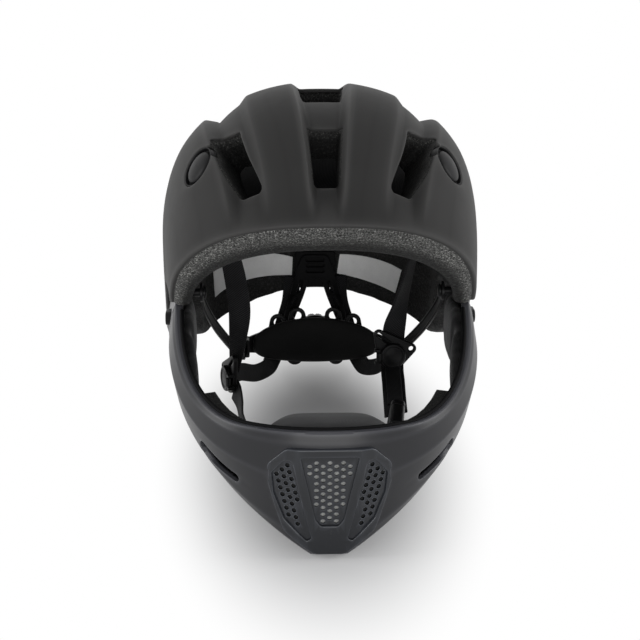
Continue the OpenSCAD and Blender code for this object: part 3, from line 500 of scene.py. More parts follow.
class Form:
    """Points and faces of one piece, upright and in millimetres."""

    def __init__(self) -> None:
        """Starts an empty form."""
        self.points: list[Points] = []
        self.faces: list[tuple[int, ...]] = []
        self.uvs: list[Points] = []
        self.count = 0

    def add(self, points: Points, faces: list = (), uvs: Points | None = None) -> int:
        """Adds points and the faces between them.

        Args:
            points: rows of three numbers.
            faces: rows of indices into points.
            uvs: two numbers a point, across and along the piece.

        Returns:
            The index of the first point added.
        """
        base = self.count
        points = np.asarray(points, float).reshape(-1, 3)
        self.points.append(points)
        self.uvs.append(np.zeros((len(points), 2)) if uvs is None else uvs)
        self.faces.extend(tuple(int(i) + base for i in f) for f in faces)
        self.count += len(points)
        return base

    def solid(self, points: Points, faces: list, uvs: Points | None = None) -> "Form":
        """Adds a closed shape, turned so that its faces point outwards."""
        points = np.asarray(points, float).reshape(-1, 3)
        volume = 0.0
        for f in faces:
            for i in range(1, len(f) - 1):
                volume += float(np.dot(points[f[0]], np.cross(points[f[i]], points[f[i + 1]])))
        self.add(points, [f[::-1] for f in faces] if volume < 0 else faces, uvs)
        return self

    def tube(self, rings: Points, uvs: Points | None = None) -> "Form":
        """Adds a closed solid through rings of equal length, ends capped."""
        rings = np.asarray(rings, float)
        n, m = rings.shape[:2]
        i = np.arange(n * m).reshape(n, m)
        j = np.roll(i, -1, 1)
        faces = np.stack([i[:-1], j[:-1], j[1:], i[1:]], -1).reshape(-1, 4).tolist()
        k = n * m
        faces += [(i[0, (c + 1) % m], i[0, c], k) for c in range(m)]
        faces += [(i[-1, c], i[-1, (c + 1) % m], k + 1) for c in range(m)]
        if uvs is not None:
            uvs = np.vstack([uvs.reshape(-1, 2), uvs[0].mean(0), uvs[-1].mean(0)])
        return self.solid(np.vstack([rings.reshape(-1, 3), rings[0].mean(0), rings[-1].mean(0)]), faces, uvs)

    def lathe(self, profile: Points, frame: Axes, count: int = 48) -> "Form":
        """Adds a turned solid.

        Args:
            profile: (radius, height) from the axis at one end to the axis at the other.
            frame: its axes; the profile turns about the third.
            count: steps round the axis.

        Returns:
            The form.
        """
        profile = np.asarray(profile, float)
        a, r = around(count), profile[:, 0, None]
        rings = np.stack([r * np.cos(a), r * np.sin(a), np.repeat(profile[:, 1:], count, 1)], -1)
        return self.tube(frame.put(rings))

    def ring(self, profile: Points, frame: Axes, count: int = 48) -> "Form":
        """Adds a ring whose closed section turns about the frame's third axis."""
        profile = np.asarray(profile, float)
        a, r = around(count)[:, None], profile[:, 0]
        high = np.broadcast_to(profile[:, 1], (count, len(profile)))
        rings = np.stack([np.cos(a) * r, np.sin(a) * r, high], -1)
        i = np.arange(count * len(profile)).reshape(count, -1)
        j = np.roll(i, -1, 0)
        faces = np.stack([i, np.roll(i, -1, 1), np.roll(j, -1, 1), j], -1).reshape(-1, 4)
        return self.solid(frame.put(rings.reshape(-1, 3)), faces.tolist())

    def plate(self, outlines: list[Points], thick: float, bevel: float, frame: Axes) -> "Form":
        """Adds a bevelled plate, its middle plane at the frame's origin."""
        points, faces = plate(outlines, thick, bevel)
        return self.solid(frame.put(points), faces)

    def bent_plate(
        self,
        outlines: list[Points],
        sizes: tuple[float, float, int],
        lift: float,
        places: Points,
        bend: Callable,
    ) -> "Form":
        """Adds a bevelled plate that is bent.

        Args:
            outlines: as for a plate.
            sizes: thickness, bevel and steps of the plate.
            lift: height of its middle plane.
            places: where it is cut along x before it is bent.
            bend: puts flat points (x, height, out) on the helmet.

        Returns:
            The form.
        """
        points, faces = plate(outlines, *sizes)
        points, faces = sliced(points + [0, 0, lift], faces, places)
        return self.solid(bend(points), faces)

    def grow(self, cut: Points, rings: list[Points], last: int | None = None) -> None:
        """Carries the edges of a cut over rings of points.

        Args:
            cut: directed edges along the cut.
            rings: places of the cut's points, one array a ring.
            last: how far after each cut point the point lies that ends the strip.
        """
        ids = [int(i) for i in np.unique(cut)]
        rows = [dict(zip(ids, ids))]
        for ring in rings:
            rows.append(dict(zip(ids, range(self.count, self.count + len(ids)))))
            self.add(ring)
        if last is not None:
            rows.append({i: i + last for i in ids})
        for near, far in zip(rows, rows[1:]):
            self.faces.extend((near[b], near[a], far[a], far[b]) for a, b in cut.tolist())

    def mirrored(self) -> "Form":
        """The same form on the other side of the helmet."""
        other = Form()
        other.points = [p * [-1, 1, 1] for p in self.points]
        other.faces = [f[::-1] for f in self.faces]
        other.uvs, other.count = self.uvs, self.count
        return other

    def build(self, name: str, finish: "Finish", sharp: float = 38.0) -> bpy.types.Object:
        """Makes the Blender object.

        Args:
            name: name of the piece.
            finish: its material.
            sharp: angle in degrees over which an edge stays sharp.

        Returns:
            The object, at the origin and with its place in its mesh.
        """
        mesh = bpy.data.meshes.new(name)
        mesh.from_pydata(STANCE.place(np.vstack(self.points)), [], self.faces)
        uvs = np.vstack(self.uvs)
        if uvs.any():
            corner = rows_of(mesh.loops, "vertex_index", 1, np.int32)[:, 0]
            mesh.uv_layers.new(name="weave").data.foreach_set("uv", uvs[corner].ravel().astype(np.float32))
        mesh.validate()
        mesh.shade_smooth()
        mesh.set_sharp_from_angle(angle=math.radians(sharp))
        mesh.materials.append(finish.material())
        return placed(name, mesh)


def clip(values: Points, faces: Points, level: Points) -> tuple[Points, list[tuple[int, ...]], Points]:
    """Keeps the part of a surface where level is above zero.

    Args:
        values: one row a vertex; new vertices get values between their neighbours'.
        faces: triangles or quads of the surface.
        level: one number a vertex.

    Returns:
        The kept rows, the kept faces, and the directed edges along the cut.
    """
    keep = level > 0
    side = keep[faces]
    made: dict[tuple[int, int], int] = {}
    fresh: list[Points] = []
    out = [tuple(f) for f in faces[side.all(1)].tolist()]
    cut: list[tuple[int, int]] = []

    def between(i: int, j: int) -> int:
        """Index of the vertex where the level crosses zero between i and j."""
        a, b = key = (min(i, j), max(i, j))
        if key not in made:
            t = np.clip(level[a] / (level[a] - level[b]), 0.02, 0.98)
            made[key] = len(values) + len(fresh)
            fresh.append(values[a] * (1 - t) + values[b] * t)
        return made[key]

    for f in faces[side.any(1) & ~side.all(1)].tolist():
        ring: list[int] = []
        entry = leave = -1
        for a, b in zip(f, f[1:] + f[:1]):
            if keep[a]:
                ring.append(a)
            if keep[a] != keep[b]:
                ring.append(between(a, b))
                entry, leave = (entry, ring[-1]) if keep[a] else (ring[-1], leave)
        if len(ring) > 2:
            out.append(tuple(ring))
            cut.append((leave, entry))
    points = np.vstack([values] + fresh)
    used = np.unique(np.concatenate([np.array(f) for f in out]))
    index = np.full(len(points), -1)
    index[used] = np.arange(len(used))
    return points[used], [tuple(index[list(f)]) for f in out], index[np.array(cut, int).reshape(-1, 2)]


# Materials


class Value:
    """A number, vector or colour in a material that takes part in sums."""

    def __init__(self, tree: "Tree", link: bpy.types.NodeSocket) -> None:
        """Wraps an output socket of a tree."""
        self.tree = tree
        self.link = link

    def math(self, operation: str, *sides: "Value | float") -> "Value":
        """Result of a Math operation."""
        return self.tree.node("ShaderNodeMath", {"operation": operation}, dict(enumerate(sides)))

    def __add__(self, other: "Value | float") -> "Value":
        """Sum."""
        return self.math("ADD", self, other)

    def __radd__(self, other: float) -> "Value":
        """Sum with a number on the left."""
        return self.math("ADD", self, other)

    def __sub__(self, other: "Value | float") -> "Value":
        """Difference."""
        return self.math("SUBTRACT", self, other)

    def __rsub__(self, other: float) -> "Value":
        """Difference from a number on the left."""
        return self.math("SUBTRACT", other, self)

    def __mul__(self, other: "Value | float") -> "Value":
        """Product."""
        return self.math("MULTIPLY", self, other)

    def __rmul__(self, other: float) -> "Value":
        """Product with a number on the left."""
        return self.math("MULTIPLY", self, other)

    def __pow__(self, other: "Value | float") -> "Value":
        """Power."""
        return self.math("POWER", self, other)

    def sine(self) -> "Value":
        """Sine of this value in radians."""
        return self.math("SINE", self)

    def size(self) -> "Value":
        """Value without its sign."""
        return self.math("ABSOLUTE", self)

    def step(self, low: float, high: float, to_low: float = 0.0, to_high: float = 1.0) -> "Value":
        """Soft step from to_low below low to to_high above high."""
        inputs = {0: self, 1: low, 2: high, 3: to_low, 4: to_high}
        return self.tree.node("ShaderNodeMapRange", {"interpolation_type": "SMOOTHSTEP"}, inputs)

    def part(self, axis: int) -> "Value":
        """One number of a vector: 0, 1 or 2 for X, Y or Z."""
        return self.tree.node("ShaderNodeSeparateXYZ", {}, {0: self}, out=axis)


class Tree:
    """The nodes of a material, a world or a node group."""

    def __init__(self, tree: bpy.types.NodeTree) -> None:
        """Empties a node tree and takes it over."""
        self.nodes, self.links = tree.nodes, tree.links
        self.nodes.clear()

    @staticmethod
    def of(owner: bpy.types.Material | bpy.types.World) -> "Tree":
        """The emptied tree of a material or world."""
        owner.use_nodes = True
        return Tree(owner.node_tree)

    def node(
        self, kind: str, settings: dict | None = None, inputs: dict | None = None, out: int | str = 0
    ) -> Value:
        """Makes any node.

        Args:
            kind: the node's type.
            settings: its properties.
            inputs: values or links of its sockets, by name or number.
            out: the output to return.

        Returns:
            The chosen output, or nothing for a node that has none.
        """
        made = self.nodes.new(kind)
        for key, value in (settings or {}).items():
            setattr(made, key, value)
        for key, value in (inputs or {}).items():
            if isinstance(value, Value):
                self.links.new(value.link, made.inputs[key])
            else:
                made.inputs[key].default_value = value
        return Value(self, made.outputs[out]) if made.outputs else None

    def place(self) -> Value:
        """Place on the helmet in metres."""
        return self.node("ShaderNodeTexCoord", out="Object")

    def attribute(self, name: str) -> Value:
        """A number that the mesh holds at each point."""
        return self.node("ShaderNodeAttribute", {"attribute_name": name}, out="Fac")

    def noise(self, at: Value, scale: float, detail: float = 3.0, rough: float = 0.5) -> Value:
        """Soft noise from 0 to 1."""
        inputs = {"Vector": at, "Scale": scale, "Detail": detail, "Roughness": rough}
        return self.node("ShaderNodeTexNoise", {"noise_dimensions": "3D"}, inputs, out="Fac")

    def cells(self, at: Value, scale: float, feature: str = "F1", out: str = "Distance") -> Value:
        """Cell pattern."""
        inputs = {"Vector": at, "Scale": scale}
        return self.node("ShaderNodeTexVoronoi", {"feature": feature}, inputs, out=out)

    def mix(self, share: Value | float, a, b) -> Value:
        """Colour between a and b, each a link or three numbers."""
        a, b = (v if isinstance(v, Value) else (*v, 1.0) for v in (a, b))
        return self.node("ShaderNodeMix", {"data_type": "RGBA"}, {0: share, 6: a, 7: b}, out=2)

    def bump(self, height: Value, depth_mm: float, strength: float = 1.0) -> Value:
        """Normal from a height of 0 to 1 that stands for depth_mm millimetres."""
        inputs = {"Height": height, "Distance": depth_mm * MM, "Strength": strength}
        return self.node("ShaderNodeBump", {}, inputs)

    def cover(self, share: Value, under: Value, over: Value) -> Value:
        """Shader between two shaders."""
        return self.node("ShaderNodeMixShader", {}, {0: share, 1: under, 2: over})


@dataclass(frozen=True)
class Finish:
    """A finish of the helmet: colour in linear light, roughness and slot, if not its name."""

    name: str
    colour: tuple[float, float, float]
    roughness: float
    slot: str = ""

    def shade(self, by: float) -> tuple[float, ...]:
        """The colour made lighter or darker by a factor."""
        return tuple(min(c * by, 1.0) for c in self.colour)

    def paint(self, tree: Tree) -> dict:
        """Inputs of the surface shader, by socket name."""
        return {"Base Color": (*self.colour, 1.0), "Roughness": self.roughness}

    def material(self) -> bpy.types.Material:
        """The finish as a material, made once; its name is not one of the CAD's."""
        label = self.name + "_look"
        found = bpy.data.materials.get(label)
        if found is None:
            found = bpy.data.materials.new(label)
            found["slot"] = self.slot or self.name
            tree = Tree.of(found)
            surface = tree.node("ShaderNodeBsdfPrincipled", {}, self.paint(tree))
            tree.node("ShaderNodeOutputMaterial", {}, {"Surface": surface})
        return found


@dataclass(frozen=True)
class Moulded(Finish):
    """Moulded plastic or lacquer with a fine grain, soft handling marks, and convex edges painted lighter as
    painted highlight with a little rubbing.
    """

    grain: float = 2600.0
    grain_depth: float = 0.012
    coat: float = 0.0
    # Share and gain of the lighter colour on convex edges: painted highlight, with a little rubbing
    rubbing_and_highlight: float = 0.35
    rubbing_and_highlight_gain: float = 1.9
    tone: float = 0.06
    shine: float = 0.5

    def paint(self, tree: Tree) -> dict:
        """Colour drift, painted highlights with a little rubbing on convex edges, grain and uneven gloss."""
        at = tree.place()
        rubs, fine = tree.noise(at, 95.0, 5.0, 0.65), tree.noise(at, self.grain, 2.0)
        edge = tree.attribute("edge")
        body = tree.mix(tree.noise(at, 22.0), self.shade(1 - self.tone), self.shade(1 + self.tone))
        height = fine * 0.8 + tree.noise(at, self.grain * 0.28, 2.0) * 0.5
        return {
            # Convex edges are painted lighter: painted highlight, with a little rubbing
            "Base Color": tree.mix(edge * self.rubbing_and_highlight, body, self.shade(self.rubbing_and_highlight_gain)),
            "Roughness": self.roughness + (rubs - 0.5) * 0.10 + (fine - 0.5) * 0.08 - edge * 0.06,
            "Coat Weight": self.coat,
            "Specular IOR Level": self.shine,
            "Coat Roughness": 0.2,
            "Normal": tree.bump(height, self.grain_depth),
        }


@dataclass(frozen=True)
class BeadFoam(Finish):
    """Moulded bead foam: fused beads with pale specks, and painted shade wherever the brim attribute is zero.
    """

    bead: float = 560.0
    speck: tuple[float, float, float] = (0.42, 0.42, 0.40)
    painted_shade: float = 0.16

    def paint(self, tree: Tree) -> dict:
        """Beads of uneven tone, specks at their seams, a dimpled surface, and painted shade where the brim
        attribute is low.
        """
        at = tree.place()
        seam = tree.cells(at, self.bead, "DISTANCE_TO_EDGE").step(0.0, 0.13, 1.0, 0.0)
        tone = tree.cells(at, self.bead, "F1", "Color").part(0)
        pores = tree.noise(at, 900.0, 2.0).step(0.55, 0.66)
        drift = tree.noise(at, 60.0).step(0.3, 0.7)
        body = tree.mix(tone, self.shade(0.4), self.shade(1.5))
        speckled = tree.mix(pores * (0.45 + 0.5 * drift), body, self.speck)
        pale = tree.mix(seam * 0.30, speckled, self.speck)
        # Painted shade: the foam darkened where the brim attribute marks it as unlit
        dark = tree.mix(pores * 0.35, self.shade(self.painted_shade), tuple(c * self.painted_shade for c in self.speck))
        height = tree.cells(at, self.bead).step(0.0, 0.8, 1.0, 0.0) - seam * 0.3
        return {
            "Base Color": tree.mix(tree.attribute("brim"), dark, pale),
            "Roughness": self.roughness + (tone - 0.5) * 0.2,
            "Specular IOR Level": 0.25,
            "Normal": tree.bump(height, 0.22, 0.9),
        }


@dataclass(frozen=True)
class Cloth(Finish):
    """Knitted or woven pad cover with a soft sheen; the pitch is in millimetres."""

    pitch: float = 0.9
    sheen: float = 0.3
    depth: float = 0.10
    # How far the thread tops are painted lighter and the gaps darker: painted highlight and shade
    contrast: float = 0.5

    def paint(self, tree: Tree) -> dict:
        """Crossing threads painted lighter on their tops and darker in the gaps, as painted highlight and
        shade, with uneven dye and some fuzz.
        """
        at = tree.place()
        turns = 2 * math.pi / (self.pitch * MM)
        wobble = tree.noise(at, 220.0, 2.0) * 2.4
        x, y, z = (at.part(i) for i in range(3))
        warp = ((x + z) * turns * 0.72 + wobble).sine()
        weft = ((y - z + x * 0.35) * turns * 0.72 - wobble).sine()
        threads = (warp * weft) * 0.5 + 0.5
        fuzz = tree.noise(at, 2400.0, 3.0, 0.7)
        dye = tree.noise(at, 55.0).step(0.25, 0.75) * 0.35
        # Painted shade in the gaps between threads and painted highlight on them
        base = tree.mix(threads, self.shade(1 - self.contrast), self.shade(1 + self.contrast))
        return {
            "Base Color": tree.mix(dye, base, self.shade(1.5)),
            "Roughness": self.roughness + (fuzz - 0.5) * 0.2,
            "Sheen Weight": self.sheen,
            "Specular IOR Level": 0.1,
            "Sheen Roughness": 0.45,
            "Normal": tree.bump(threads * 0.7 + fuzz * 0.45, self.depth, 0.8),
        }


@dataclass(frozen=True)
class Webbing(Finish):
    """Woven strap: a slanted twill between two bound edges."""

    pitch: float = 1.5
    # Colour of the raised threads' tops: painted highlight
    glint: tuple[float, float, float] = (0.055, 0.055, 0.058)

    def paint(self, tree: Tree) -> dict:
        """Twill lines from the strap's own UV map, in millimetres across and along, with a painted glint on
        the raised threads.
        """
        uv = tree.node("ShaderNodeUVMap", {"uv_map": "weave"})
        at = tree.place()
        across, along = uv.part(0), uv.part(1)
        turn = 2 * math.pi / self.pitch
        wobble = tree.noise(at, 500.0, 2.0) * 0.8
        twill = ((along + across * 0.8) * turn + wobble).sine() * 0.5 + 0.5
        picks = (along * (turn * 1.7)).sine() * 0.5 + 0.5
        fuzz = tree.noise(at, 2600.0, 2.0, 0.6)
        thread = twill * 0.75 + picks * 0.25
        drift = tree.noise(at, 70.0, 2.0).step(0.3, 0.7)
        # The raised threads are painted toward the glint colour: painted highlight
        return {
            "Base Color": tree.mix(thread**2.2 * (0.35 + 0.4 * drift), self.colour, self.glint),
            "Roughness": self.roughness + (fuzz - 0.5) * 0.25,
            "Sheen Weight": 0.06,
            "Specular IOR Level": 0.08,
            "Normal": tree.bump(thread + fuzz * 0.2, 0.16, 0.9),
        }


@dataclass(frozen=True)
class Steel(Finish):
    """Rolled spring steel."""

    def paint(self, tree: Tree) -> dict:
        """Fine rolling marks and a few dull patches."""
        at = tree.place()
        stretch = tree.node("ShaderNodeMapping", {}, {"Vector": at, "Scale": (3000.0, 200.0, 3000.0)})
        marks, dull = tree.noise(stretch, 1.0), tree.noise(at, 120.0)
        return {
            "Base Color": tree.mix(marks, self.shade(0.85), self.shade(1.1)),
            "Metallic": 1.0,
            "Roughness": self.roughness + (marks - 0.5) * 0.15 + (dull - 0.5) * 0.1,
            "Normal": tree.bump(marks, 0.008),
        }


@dataclass(frozen=True)
class OpenFoam(Finish):
    """Open-cell filter foam, pale only in the middle strip; outside it, painted shade makes it almost black.
    """

    cell: float = 900.0
    # Half widths in metres from the middle over which the painted shade sets in
    strip: tuple[float, float] = (0.0125, 0.0165)

    def paint(self, tree: Tree) -> dict:
        """Pale struts round pores darkened as painted shade."""
        at = tree.place()
        strut = tree.cells(at, self.cell, "DISTANCE_TO_EDGE").step(0.02, 0.22, 1.0, 0.0)
        body = tree.mix(tree.noise(at, 90.0, 2.0), self.shade(0.85), self.shade(1.15))
        # Pores painted darker than the struts: painted shade
        pale = tree.mix(strut, self.shade(0.6), body)
        # Outside the middle strip the foam is painted almost black: painted shade
        colour = tree.mix(at.part(0).size().step(*self.strip), pale, self.shade(0.02))
        return {"Base Color": colour, "Roughness": self.roughness, "Normal": tree.bump(strut, 0.25)}


@dataclass(frozen=True)
class Patch(Finish):
    """Blank satin film, slightly creased."""

    def paint(self, tree: Tree) -> dict:
        """Faint creases, painted darker in their hollows and lighter on their ridges as painted shade and
        highlight, and dust.
        """
        at = tree.place()
        crease = tree.noise(at, 130.0, 4.0, 0.6)
        dust = tree.noise(at, 1500.0, 2.0).step(0.55, 0.75)
        # Colour follows the crease height: painted shade in the hollows, painted highlight on the ridges
        colour = tree.mix(crease, self.shade(0.88), self.shade(1.08))
        return {
            "Base Color": tree.mix(dust * 0.2, colour, self.shade(0.6)),
            "Roughness": self.roughness + (crease - 0.5) * 0.25,
            "Normal": tree.bump(crease, 0.25, 0.6),
        }


SHELL = Moulded(
    "shell_matte",
    (0.0330, 0.0325, 0.0319),
    0.58,
    grain=2100.0,
    grain_depth=0.016,
    shine=0.10,
    rubbing_and_highlight=0.7,
    rubbing_and_highlight_gain=2.6,
)
GUARD = Moulded("guard_satin", (0.0180, 0.0182, 0.0205), 0.36, shine=0.30, rubbing_and_highlight=1.0, rubbing_and_highlight_gain=4.0)
GRILLE = Moulded("grille_gloss", (0.0185, 0.0200, 0.0235), 0.25, coat=0.12, shine=0.30, rubbing_and_highlight=1.0, rubbing_and_highlight_gain=4.0)
TRIM = Moulded("trim_plastic", (0.0060, 0.0060, 0.0064), 0.45, grain=1700.0, grain_depth=0.02, shine=0.14)
BLACK = Moulded(
    "black_plastic", (0.0042, 0.0042, 0.0045), 0.62, TRIM.name, grain=1700.0, grain_depth=0.02, shine=0.06
)
FOAM = BeadFoam("foam_dark", (0.047, 0.047, 0.0455), 0.7)
PAD = Cloth("pad_cloth", (0.011, 0.011, 0.0115), 0.88)
CHIN_PAD = Cloth(
    "chin_pad_cloth", (0.095, 0.095, 0.096), 0.5, pitch=0.7, sheen=0.1, depth=0.03, contrast=0.12
)
SMOOTH_PAD = Cloth("cradle_cloth", (0.010, 0.010, 0.010), 0.6, PAD.name, pitch=0.6, depth=0.03, contrast=0.3)
WEBBING = Webbing("webbing", (0.0065, 0.0065, 0.007), 0.78)
THREAD = Webbing("thread", (0.05, 0.05, 0.05), 0.8, WEBBING.name, pitch=0.8)
STEEL = Steel("spring_steel", (0.62, 0.62, 0.64), 0.3)
FILTER = OpenFoam("filter_foam", (0.60, 0.60, 0.585), 0.9, FOAM.name)
FILM = Patch("blank_film", (0.88, 0.88, 0.87), 0.45, PAD.name)

# How a slot's edges are painted lighter, as painted highlight with a little rubbing: the turn in radians of a
# full edge, and its spread
RUBBING_AND_LIGHT = {SHELL.name: (0.12, 2), GUARD.name: (0.16, 2), GRILLE.name: (0.30, 0), TRIM.name: (0.35, 2)}


def mark_edges(obj: bpy.types.Object, gain: float, spread: int) -> None:
    """Writes how convex each point is to the edge attribute, which the moulded finishes paint lighter as
    painted highlight with a little rubbing.

    Args:
        obj: the piece, whose mesh is final.
        gain: turn between neighbours, in radians, that counts as a full edge.
        spread: times that the mark is smoothed over the mesh.
    """
    mesh = obj.data
    n = len(mesh.vertices)
    co, no = (rows_of(mesh.vertices, name).astype(float) for name in ("co", "normal"))
    a, b = rows_of(mesh.edges, "vertices", 2, np.int32).T
    along = co[b] - co[a]
    bend = ((no[b] - no[a]) * along).sum(1) / np.maximum(np.linalg.norm(along, axis=1), 1e-6)
    total = np.bincount(a, bend, n) + np.bincount(b, bend, n)
    count = np.maximum(np.bincount(a, minlength=n) + np.bincount(b, minlength=n), 1)
    edge = np.clip(total / count / gain, 0, 1)
    for _ in range(spread):
        nearby = np.bincount(a, edge[b], n) + np.bincount(b, edge[a], n)
        edge = 0.5 * edge + 0.5 * nearby / count
    mesh.attributes.new("edge", "FLOAT", "POINT").data.foreach_set("value", edge.astype(np.float32))


# The dome: shell, liner, caps and what lies in them


@dataclass(frozen=True)
class Vent:
    """Opening through the dome: its front and rear place and their angles."""

    front: tuple[float, float, float]
    rear: tuple[float, float, float]
    skew: float = 0.0

    def mirrored(self) -> "Vent":
        """The same vent on the other side."""
        (p0, a0, b0), (p1, a1, b1) = self.front, self.rear
        return Vent((p0, -b0, -a0), (p1, -b1, -a1), self.skew)

    def corners(self) -> Points:
        """Places and angles of the four corners; the outer rear one goes back by skew."""
        (p0, a0, b0), (p1, a1, b1) = self.front, self.rear
        far, near = (self.skew, 0.0) if abs(b1) > abs(a1) else (0.0, self.skew)
        return np.array([[p0, a0], [p0, b0], [p1 + far, b1], [p1 + near, a1]])


CENTRE_VENTS = (
    Vent((48, -2.4, 2.4), (60, -3.6, 3.6)),
    Vent((74.5, -4.6, 4.6), (86.5, -6.6, 6.6)),
    Vent((100, -5.6, 5.6), (114, -5.4, 5.4)),
    Vent((125, -5, 5), (139, -4.4, 4.4)),
)
SIDE_VENTS = (
    Vent((47, 20.3, 25), (62, 26.8, 33.2), 2.0),
    Vent((84, 31, 36), (102, 30.5, 36)),
    Vent((114, 29.5, 35), (131, 29, 33.5)),
    Vent((88, 78, 84), (103, 78, 84)),
    Vent((120, 62, 70), (136, 60, 67)),
)


@dataclass(frozen=True)
class Dome:
    """Ribbed dome swept about an axis through the ears; angles in degrees.

    A row of rows or cavity is a place, the radius at the top, the half width,
    the centre and the squareness there. A row of ribs is the angle of a rib
    line at the front, in the middle and at the rear, and its height.
    """

    ear_y: float = 20.0
    ear_z: float = 70.0
    first: float = 39.0
    last: float = 167.0
    arch: float = 5.0
    tuck: float = 150.0
    rows: tuple = (
        (39, 190, 95, 80, 2.6),
        (62, 199, 99, 80, 2.5),
        (88, 184, 103, 80, 2.4),
        (114, 175, 104, 66, 2.4),
        (141, 144, 103, 45, 2.4),
        (167, 112, 100, 25, 2.3),
    )
    cavity: tuple = (
        (39, 157.2, 82, 75, 2.4),
        (62, 168, 80, 78, 2.2),
        (88, 159, 79, 78, 2.1),
        (114, 147, 79, 64, 2.1),
        (141, 118, 79, 43, 2.1),
        (167, 90, 78, 25, 2.1),
    )
    lower: tuple = (
        *((39, 88), (50, 75), (60, 66), (82, 57.5), (95, 45)),
        *((110, 36), (130, 33), (150, 33), (167, 36)),
    )
    ribs: tuple = (
        (0, 0, 0, -8),
        (3, 7.2, 6, -8),
        (4.8, 9.8, 8.5, 2),
        (10, 20, 17, 1),
        (17, 25.5, 23, 0.4),
        (19.5, 29, 26.5, -3.5),
        (26, 38.5, 36, -7),
        (29, 42, 39.5, 0.8),
        (40, 54, 50, 0.8),
        (55, 68, 64, 0),
    )
    cap_place: tuple[float, float] = (58.5, 40.5)
    cap_reach: float = 13.3
    vent_corner: float = 2.8
    soften: float = 0.45

    def section(self, p: Points, rows: tuple) -> tuple[Points, ...]:
        """Radius, half width, centre and squareness of the section at p."""
        return tuple(smooth_at(rows, p, c) for c in (1, 2, 3, 4))

    def at(self, p: Points, a: Points, d: Points | float = 0.0, rows: tuple | None = None) -> Points:
        """Points at place p and angle a, d above the smooth dome."""
        radius, w, c, n = self.section(p, rows or self.rows)
        s, k = np.sin(np.radians(a)), np.cos(np.radians(a))
        up = np.where(k >= 0, radius - c, self.tuck)
        rho = d + 1 / (((np.abs(s) / w) ** n + (np.abs(k) / up) ** n) ** (1 / n))
        r, turn = c + rho * k, np.radians(p)
        return np.stack([rho * s, self.ear_y - r * np.cos(turn), self.ear_z + r * np.sin(turn)], -1)

    def edge(self, p: Points, rows: tuple | None = None) -> Points:
        """Angle at which the section at p meets the lower edge."""
        radius, w, c, n = self.section(p, rows or self.rows)
        dr = smooth_at(self.lower, p, 1) - c
        up = np.where(dr >= 0, radius - c, self.tuck)
        x = w * (1 - np.minimum(np.abs(dr) / up, 0.999) ** n) ** (1 / n)
        return np.degrees(np.arctan2(x, dr))

    def rib_angles(self, p: Points) -> Points:
        """Angles of the rib lines at p, one column a line."""
        p = np.asarray(p, float)[..., None]
        l0, l1, l2 = (np.array([r[i] for r in self.ribs], float) for i in range(3))
        return np.where(p < 88, mix(l0, l1, ease((p - 39) / 49)), mix(l1, l2, ease((p - 88) / 62)))

    def relief(self, p: Points, a: Points) -> Points:
        """Height of the ribs and channels over the smooth dome."""
        lines = self.rib_angles(p)
        high = np.broadcast_to(np.array([r[3] for r in self.ribs], float), lines.shape).copy()
        bridge = 1 - 0.75 * ease((p - 76) / 9) * (1 - ease((p - 98) / 12))
        high[..., :2] *= bridge[..., None]
        high *= (ease((p - 39) / 10) * (1 - 0.7 * ease((p - 146) / 21)))[..., None]
        total = 0.0
        for shift in np.linspace(-self.soften, self.soften, 5):
            b = np.abs(a + shift)
            value = np.zeros_like(b)
            for k in range(len(self.ribs) - 1):
                t = (b - lines[..., k]) / (lines[..., k + 1] - lines[..., k])
                value = np.where((t >= 0) & (t < 1), mix(high[..., k], high[..., k + 1], t), value)
            total = total + value
        return total / 5

    def ribbed(self, p: Points, a: Points) -> Points:
        """Points on the dome with its ribs."""
        return self.at(p, a, self.relief(p, a))

    def rear(self, t: Points) -> Points:
        """Place of the rear edge for a column share t from the middle to the side."""
        return self.last - self.arch * (1 - t**2)

    def column(self, t: Points, p: Points) -> Points:
        """Angle of a column: t counts rib lines, and 10 is the side edge."""
        lines = self.rib_angles(p)
        k = np.clip(np.floor(t), 0, 8).astype(int)
        lo, hi = (np.take_along_axis(lines, k[..., None] + i, -1)[..., 0] for i in (0, 1))
        outer = lines[..., 9] + (self.edge(p) - lines[..., 9]) * (t - 9)
        return np.where(t <= 9, lo + (hi - lo) * (t - k), outer)

    def border(self, p: Points, a: Points, t: Points) -> Points:
        """Distance inside the dome's edge, with rounded corners."""
        here = self.at(p, a)
        r = np.hypot(here[..., 1] - self.ear_y, here[..., 2] - self.ear_z)
        rho = np.linalg.norm(self.at(p, self.edge(p)) - self.at(p, self.edge(p) - 1), axis=-1)
        front = np.radians(p - self.first) * r
        rear = np.radians(self.rear(np.minimum(t / 10, 1.1)) - p) * r
        side = (self.edge(p) - np.abs(a)) * rho

        def rounded(u: Points, v: Points, radius: float) -> Points:
            """Smaller of two distances, round where both are short."""
            corner = radius - np.hypot(np.maximum(radius - u, 0), np.maximum(radius - v, 0))
            return np.where((u < radius) & (v < radius), corner, np.minimum(u, v))

        return rounded(rounded(front, side, 7.0), rear, 12.0)

    @property
    def cap(self) -> Axes:
        """Axes of the right cap's seat, its third pointing out of the shell."""
        p, a = np.array(self.cap_place[0]), np.array(self.cap_place[1])
        da = self.at(p, a + 0.5) - self.at(p, a - 0.5)
        dp = self.at(p + 0.5, a) - self.at(p - 0.5, a)
        out = unit(np.cross(da, dp))
        return Axes.toward(self.at(p, a, 0.4), out if out[0] >= 0 else -out, dp)

